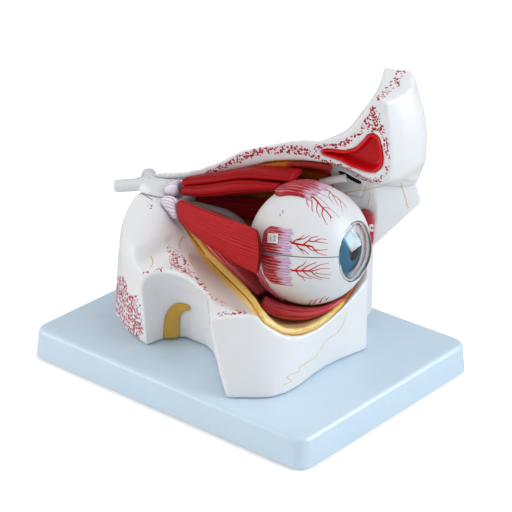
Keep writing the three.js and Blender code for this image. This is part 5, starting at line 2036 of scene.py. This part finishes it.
    def lens_outline(self, extra: float) -> list[Pair]:
        """Outline of the lens, or of its dish with some room.

        Args:
            extra: The room round the lens.

        Returns:
            Pairs of radius and distance forwards.
        """
        radius, middle = self.lens_radius + extra, self.lens_middle
        outline = []
        for curve, direction in zip(self.lens_curves, (1, -1)):
            reach = curve + extra
            half = math.degrees(math.asin(radius / reach))
            centre = middle - direction * reach * math.cos(math.radians(half))
            if direction > 0:
                outline += self.arc(reach, 0.05, half, 16, centre)
            else:
                outline += self.arc(reach, 180 - half, 179.95, 18, centre)
        return outline

    def build_lens_and_vitreous(self) -> None:
        """Turns the lens and the clear body behind it."""
        lens = self.turned("lens_disc", self.lens_outline(0.0))
        self.finish(lens, Body.LENS, Slot.LENS, LENS_CLEAR, "lens", 50)
        radius = self.coat_radius - self.choroid_wall - 0.7 * MM
        flat, room = self.dish_flat, self.dish_room
        rim = math.degrees(math.acos(flat / radius))
        dish = [(r, h) for r, h in self.lens_outline(room) if h < flat]
        profile = [*self.arc(radius, 179.95, rim, 40), (dish[0][0] + 0.3 * MM, flat), *dish]
        vitreous = self.turned("vitreous_ball", profile)
        self.finish(vitreous, Body.VITREOUS, Slot.VITREOUS, VITREOUS_CLEAR, "vitreous_body")

    def build_stump(self) -> None:
        """Turns the optic nerve's stump behind the ball."""
        start = -(self.coat_radius + 0.3 * MM)
        outline = ((0.05, 0), (4.5, 0), (4.6, 0.5), (4.2, 4.6), (3.8, 5), (0.05, 5))
        profile = [(radius * MM, start - back * MM) for radius, back in outline]
        stump = self.turned("optic_nerve_stub", profile, 48)
        self.finish(stump, Body.EYEBALL, Slot.NERVE_GREY, NERVE_GREY, "optic_nerve_stump")

    def build_bead(self) -> None:
        """Lays a white bead beside the cornea on both halves of the shell, on the open side, as a painted highlight
        line.
        """
        angle = math.radians(self.limbus + 0.9)
        radius = 0.28 * MM
        reach = self.radius - 0.05 * MM
        gap = math.asin(2 * radius / (reach * math.sin(angle)))
        for side, name, body in ((1, "upper", Body.SCLERA_TOP), (-1, "lower", Body.EYEBALL)):
            turns = np.linspace(self.bead_start * math.pi, math.pi - gap, 80)
            line = []
            for t in turns:
                across, up = math.sin(angle) * math.cos(t), side * math.sin(angle) * math.sin(t)
                line.append((Vector((math.cos(angle), across, up)) * reach, radius))
            obj = raised_lines(f"limbal_highlight_bead_{name}", [line])
            self.place(obj)
            finish_piece(obj, body, Slot.SCLERA, BEAD_HIGHLIGHT)

    def seen_direction(self, pixel: Pixel) -> Vector:
        """Unit direction from the ball's middle to what the camera sees at a pixel."""
        return (CAMERA.on_ball(pixel, self.middle, self.radius) - self.middle).normalized()

    def build_insertions(self) -> None:
        """Builds the muscle ends on the ball from the pads' spans in degrees."""
        pads = {
            "lateral_insertion_upper": (0, 107, 74, 1, 25, 1.0, Body.SCLERA_TOP, PATCH),
            "lateral_insertion_lower": (0, 107, 74, -31, -1, 1.0, Body.EYEBALL, PATCH),
            "superior_insertion": (90, 118, 70, -29, 13, 2.3, Body.SCLERA_TOP, PATCH_UPPER),
            "medial_insertion_upper": (180, 107, 82, -30, -1.2, 1.0, Body.SCLERA_TOP, PATCH),
            "medial_insertion_lower": (180, 107, 82, 1.2, 30, 1.0, Body.EYEBALL, PATCH),
            "inferior_insertion": (270, 128, 112, -14, 14, 1.0, Body.EYEBALL, PATCH),
        }
        for name, (pole, rear, front, low, high, height, body, finish) in pads.items():
            obj = self.pad(f"{name}_pad", pole, rear, front, low, high, height)
            smooth_shading(obj, 60)
            finish_piece(obj, body, Slot.MUSCLE, finish, [name])

    def pad(
        self, name: str, pole: float, rear: float, front: float, low: float, high: float, height: float
    ) -> Piece:
        """Bends a subdivided slab round the ball, thin at its ragged front.

        Args:
            name: The piece's name.
            pole: Turn of the pad about the eye's axis, in degrees.
            rear: Angle of its cut end from the eye's axis.
            front: Angle of its front end.
            low: Angle of one side from the pole's plane.
            high: Angle of the other side.
            height: Its height over the ball, as a share of the usual.

        Returns:
            The pad, in the model's frame.
        """
        obj = lone_box(name, (0.5, 0.5, 0.5), (1, 1, 1))
        select_edges(obj, lambda a, b: abs(a.x - b.x) > 0.5)
        bpy.ops.mesh.subdivide(number_cuts=35)
        select_edges(obj, lambda a, b: abs(a.y - b.y) > 0.5)
        bpy.ops.mesh.subdivide(number_cuts=63)
        bpy.ops.object.mode_set(mode="OBJECT")
        unit = positions(obj)
        turn = math.radians(pole)
        away = np.array([0, -math.cos(turn), math.sin(turn)])
        beside = np.array([0, math.sin(turn), math.cos(turn)])
        rows = []
        for share, side, level in unit:
            finger = 0.5 + 0.5 * math.sin(side * 41) * math.sin(side * 17 + 1)
            reach = share * (0.84 + 0.16 * finger)
            spread = 1 - 0.2 * max(0.0, 1 - share / 0.25) ** 2
            along = math.radians(rear + (front - rear) * reach)
            across = math.radians((low + (high - low) * side) * spread)
            thick = height * (1.1 - 0.95 * share**1.5) * (0.35 + 0.65 * min(1.0, 12 * min(side, 1 - side)))
            direction = np.array([math.cos(along) * math.cos(across), 0, 0])
            direction = direction + away * math.sin(along) * math.cos(across) + beside * math.sin(across)
            radius = self.radius + (0.3 * level + thick * level - 0.1 * (1 - level)) * MM
            rows.append(direction * radius)
        set_positions(obj, np.array(rows))
        set_attribute(obj, "across", unit[:, 1])
        set_attribute(obj, "along", unit[:, 0])
        recalculate(obj)
        self.place(obj)
        return obj

    def build_vessels(self) -> None:
        """Lays the vessel trees on both halves."""
        for tree in VESSEL_TREES:
            lines = [self.vessel(*branch) for branch in tree.branches]
            finish_piece(raised_lines(tree.name, lines), tree.body, Slot.MUSCLE, tree.finish)

    def vessel(self, route: Sequence[Pixel], start: float, end: float) -> Line:
        """Lays one tapering vessel on the ball.

        Args:
            route: Pixels along the vessel.
            start: Its first radius, before scaling.
            end: Its last radius.

        Returns:
            Places and radii.
        """
        spline = Spline(route)
        count = max(6, int(1.3 * route_length(route)))
        line = []
        for i in range(count):
            share = i / (count - 1)
            radius = (start + (end - start) * share) * self.vessel_scale * MM
            direction = self.seen_direction(tuple(spline.at(share)))
            line.append((self.middle + direction * (self.radius - radius * 0.35), radius))
        return line

    def build_tag(self) -> None:
        """Bends the small white tag onto the upper lateral muscle end."""
        corners = [(269.7, 233.4), (279.5, 234), (279, 243.5), (269.2, 242.8)]
        spots = [self.seen_direction(c) for c in corners]
        centre = sum(spots, Vector()) / 4
        obj = lone_box("number_tag", (0, 0, 0), (1, 1, 1))
        places = []
        for x, y, z in positions(obj):
            top = spots[0].lerp(spots[1], x + 0.5)
            low = spots[3].lerp(spots[2], x + 0.5)
            spot = low.lerp(top, y + 0.5)
            radius = self.radius + (1.1 + 0.5 * (z + 0.5)) * MM
            bent = spot.normalized() * 0.25 + centre.normalized() * 0.75 + (spot - centre) * 0.75
            places.append(self.middle + bent * radius)
        set_positions(obj, np.array(places))
        recalculate(obj)
        apply_modifier(obj, "BEVEL", width=0.15 * MM, segments=2)
        finish_piece(obj, Body.SCLERA_TOP, Slot.SCLERA, TAG_WHITE)

    def build_numbers(self) -> None:
        """Writes the tag's number and the small one on the shell."""
        tag_strokes = (
            [(272.2, 236.2), (272.6, 240.7)],
            [(275, 236.8), (276.8, 236.2), (277.2, 238), (275, 240.8), (277.4, 241)],
        )
        shell_strokes = (
            [(282.2, 210.4), (283.6, 211), (282.4, 212.4), (283.8, 213)],
            [(279.4, 214.2), (280.8, 214.8), (279.8, 216.2)],
        )
        self.build_ink("tag_number", tag_strokes, 1.75 * MM)
        self.build_ink("shell_number", shell_strokes, 0.05 * MM)

    def build_ink(self, name: str, strokes: Iterable[Sequence[Pixel]], lift: float) -> None:
        """Writes a plain number in grey ink at a height over the ball.

        Args:
            name: The piece's name.
            strokes: Pixels along each stroke.
            lift: The height over the ball.
        """
        reach = self.radius + lift
        lines = [[(self.middle + self.seen_direction(p) * reach, 0.2 * MM) for p in s] for s in strokes]
        finish_piece(raised_lines(name, lines), Body.SCLERA_TOP, Slot.SCLERA, INK)


@dataclass
class VesselTree:
    """A painted vessel tree: routes in photograph pixels with start and end radii in millimetres."""

    name: str
    body: Body
    finish: Finish
    branches: list[tuple[list[Pixel], float, float]]


VESSEL_TREES = [
    VesselTree("inferior_tendon_strands", Body.EYEBALL, VESSEL_PALE, [
        ([(260, 269), (264, 279), (270, 288), (278, 298)], 0.9, 1.6),
        ([(263, 275), (268, 285), (275, 293), (283, 301)], 0.7, 1.5),
        ([(258, 271), (261, 281), (265, 291), (271, 299)], 0.9, 1.7),
        ([(260, 271), (263, 283), (268, 293), (276, 300)], 0.9, 1.7),
    ]),
    VesselTree("inferior_muscle_strands", Body.EYEBALL, VESSEL, [
        ([(262, 276), (266, 285), (271, 293), (277, 301)], 0.5, 1.3),
        ([(266, 281), (271, 289), (278, 296), (286, 301)], 0.5, 1.3),
        ([(259, 272), (262, 282), (266, 292), (271, 300)], 0.4, 1.2),
    ]),
    VesselTree("floor_strands", Body.EYEBALL, VESSEL, [
        ([(309, 304), (311, 301), (313, 300)], 0.4, 0.2), ([(314, 303.5), (316, 300), (319, 298)], 0.4, 0.15),
        ([(320, 302.5), (322, 299), (326, 296)], 0.4, 0.15), ([(326, 300), (329, 297)], 0.4, 0.2),
    ]),
    VesselTree("lateral_vessels_upper", Body.SCLERA_TOP, VESSEL, [
        ([(288, 241), (293, 243), (300, 244.5), (307, 245.5), (312, 246.5)], 0.62, 0.42),
        ([(293, 243), (296, 240), (301, 238), (304, 235)], 0.4, 0.15),
        ([(297, 240), (304, 238.5), (310, 235)], 0.32, 0.12),
        ([(303, 244.8), (308, 241), (312, 237.5), (318, 236.5)], 0.42, 0.15),
        ([(309, 241), (314, 241.5), (320, 239), (327, 239.5)], 0.36, 0.12),
        ([(314, 241.3), (321, 242.5), (328, 243.5)], 0.26, 0.1),
        ([(296, 244), (299, 248), (302, 251), (304, 254.5)], 0.36, 0.12),
        ([(300, 248.5), (305, 251), (309, 254.5)], 0.3, 0.12),
        ([(306, 245.5), (309, 248), (312, 250.5), (317, 250.5)], 0.36, 0.14),
        ([(312, 246.5), (315, 250), (318, 253), (327, 255.5)], 0.4, 0.12),
        ([(315, 250), (321, 250.2), (328, 249.5)], 0.3, 0.1),
    ]),
    VesselTree("lateral_vessels_lower", Body.EYEBALL, VESSEL, [
        ([(290, 270), (296, 270.8), (304, 270.8), (311, 271.2)], 0.62, 0.42),
        ([(295, 270.5), (299, 267), (303, 265), (306, 261.5)], 0.4, 0.15),
        ([(301, 270.8), (306, 267), (312, 264), (317, 262.5)], 0.4, 0.14),
        ([(308, 271), (314, 268), (320, 265), (329, 263)], 0.36, 0.12),
        ([(311, 271.2), (316, 270), (322, 268.5), (330, 268.5)], 0.36, 0.12),
        ([(296, 271), (299, 275), (302, 277), (305, 281)], 0.4, 0.14),
        ([(300, 275.5), (305, 277.5), (312, 278.5)], 0.3, 0.12),
        ([(303, 271), (307, 274.5), (312, 277), (322, 280)], 0.38, 0.12),
        ([(311, 271.2), (315, 275), (321, 277.5), (330, 278.5)], 0.38, 0.12),
        ([(315, 273), (322, 274), (331, 274.5)], 0.26, 0.1),
    ]),
    VesselTree("superior_vessels", Body.SCLERA_TOP, VESSEL, [
        ([(307, 190), (312, 196), (317, 201), (322, 207), (327, 212), (332, 218)], 0.6, 0.3),
        ([(308, 193), (307, 198), (307, 203), (309, 207)], 0.4, 0.14),
        ([(311, 197), (312, 202), (312, 208), (313, 212)], 0.38, 0.14),
        ([(318, 202), (317, 206), (317, 211), (320, 217)], 0.36, 0.14),
        ([(323, 208), (322, 214), (324, 219), (327, 225)], 0.36, 0.12),
        ([(326, 211), (330, 216), (331, 221)], 0.28, 0.12),
    ]),
    VesselTree("superior_vessels_pale", Body.SCLERA_TOP, VESSEL_PALE, [
        ([(312, 194), (319, 198), (326, 204), (331, 210)], 0.3, 0.12),
        ([(316, 192), (323, 195), (330, 199), (334, 204)], 0.28, 0.1),
        ([(322, 207), (328, 208), (335, 213), (340, 218)], 0.28, 0.1),
        ([(326, 189), (331, 193), (335, 199), (338, 206)], 0.42, 0.16),
        ([(330, 191), (329, 196), (331, 201)], 0.3, 0.12),
        ([(333, 195), (339, 199), (341, 205), (343, 212)], 0.36, 0.12),
        ([(338, 199), (343, 203), (347, 209)], 0.26, 0.1),
    ]),
]


# Floor, light and the run of the script


def direct_rays(tree: Tree) -> tuple[Socket, Socket]:
    """Tells glossy rays, and rays that come from the camera or through clear plastic.

    Args:
        tree: The floor's or the world's node tree.

    Returns:
        The sockets of the two tests.
    """
    path = add_node(tree, "LightPath")
    seen = add_node(
        tree, "Math",
        {0: path.outputs["Is Camera Ray"], 1: path.outputs["Is Transmission Ray"]}, operation="MAXIMUM",
    )
    return path.outputs["Is Glossy Ray"], seen.outputs[0]


def build_floor() -> None:
    """Adds the white floor, which keeps the model's shadow."""
    bpy.ops.object.select_all(action="DESELECT")
    bpy.ops.mesh.primitive_plane_add(size=8, location=(0, 0, -0.0002))
    floor = bpy.context.object
    floor.name = "floor"
    material = bpy.data.materials.new("white_paper_floor")
    material.use_nodes = True
    tree = material.node_tree
    shader = tree.nodes["Principled BSDF"]
    shader.inputs["Roughness"].default_value = 0.9
    shader.inputs["Specular IOR Level"].default_value = 0.1
    shader.inputs["Emission Color"].default_value = (1, 1, 1, 1)
    glossy, seen = direct_rays(tree)
    glow = add_node(tree, "Math", {0: seen, 1: 0.3}, operation="MULTIPLY")
    paper = add_node(
        tree, "Mix", {0: glossy, 6: linear("#F6F6F6"), 7: linear("#8A8C90")}, data_type="RGBA",
    )
    tree.links.new(paper.outputs[2], shader.inputs["Base Color"])
    tree.links.new(glow.outputs[0], shader.inputs["Emission Strength"])
    floor.data.materials.append(material)


def build_room() -> None:
    """Adds the white surround, brightest where it is seen directly."""
    world = bpy.data.worlds.new("white_room")
    bpy.context.scene.world = world
    world.use_nodes = True
    tree = world.node_tree
    tree.nodes.clear()
    glossy, seen = direct_rays(tree)
    direct = add_node(tree, "MapRange", {"Value": seen, "To Min": 0.6, "To Max": 1.0})
    strength = add_node(
        tree, "Math", {0: glossy, 1: -0.4, 2: direct.outputs[0]}, operation="MULTIPLY_ADD",
    )
    sky = add_node(tree, "Background", {"Color": (1, 1, 1, 1), "Strength": strength.outputs[0]})
    add_node(tree, "OutputWorld", {"Surface": sky.outputs[0]})


def build_stage() -> None:
    """Adds the floor, the surround and the soft lamps; only gloss shows the window."""
    build_floor()
    build_room()
    add_lamp("key_lamp", (1.15, 0.35, 0.75), 0.8, 8.6, "#E9F2FA").visible_glossy = False
    add_lamp("fill_lamp", (-1.0, -1.0, 0.45), 0.9, 8.5, "#FFFCFA")
    add_lamp("top_lamp", (0.2, 0.2, 1.5), 0.7, 3.0, "#FFFFFF")
    add_lamp("window", (1.25, 0.72, 0.66), 1.15, 38.0, "#E6F4FB").visible_diffuse = False


def add_lamp(name: str, place: Triple, size: float, power: float, colour: str) -> Piece:
    """Adds a square lamp that faces the model's middle.

    Args:
        name: The lamp's name.
        place: Its place.
        size: Its side, in metres.
        power: Its power, in watts.
        colour: Its colour as a hex code.

    Returns:
        The lamp.
    """
    data = bpy.data.lights.new(name, "AREA")
    data.size = size
    data.energy = power
    data.color = linear(colour)[:3]
    lamp = bpy.data.objects.new(name, data)
    bpy.context.scene.collection.objects.link(lamp)
    lamp.location = place
    lamp.rotation_mode = "QUATERNION"
    lamp.rotation_quaternion = (Vector((0, 0, 0.08)) - Vector(place)).to_track_quat("-Z", "Y")
    return lamp


def dress_pins(nodes: dict[str, Piece]) -> None:
    """Gives the two locating pins, which keep their CAD meshes, their steel.

    Args:
        nodes: The CAD nodes by name.
    """
    for name in ("sclera_pin_1", "sclera_pin_2"):
        data = nodes[name].data
        data.materials.clear()
        data.materials.append(STEEL.material())


def main() -> None:
    """Builds the sub-assemblies in order and reports each piece."""
    logging.basicConfig(level=logging.INFO, format="%(name)s: %(message)s")
    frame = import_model()
    nodes = frame["nodes"]
    CAMERA.make()
    bpy.context.scene.view_settings.view_transform = "Standard"
    build_stage()
    BasePlate().build()
    bones = Bones()
    skin = bones.build(nodes)
    BonePaint().build(skin)
    OrbitContents().build(nodes, bones)
    Eyeball().build()
    dress_pins(nodes)
    bpy.context.view_layer.update()


if __name__ == "__main__":
    main()
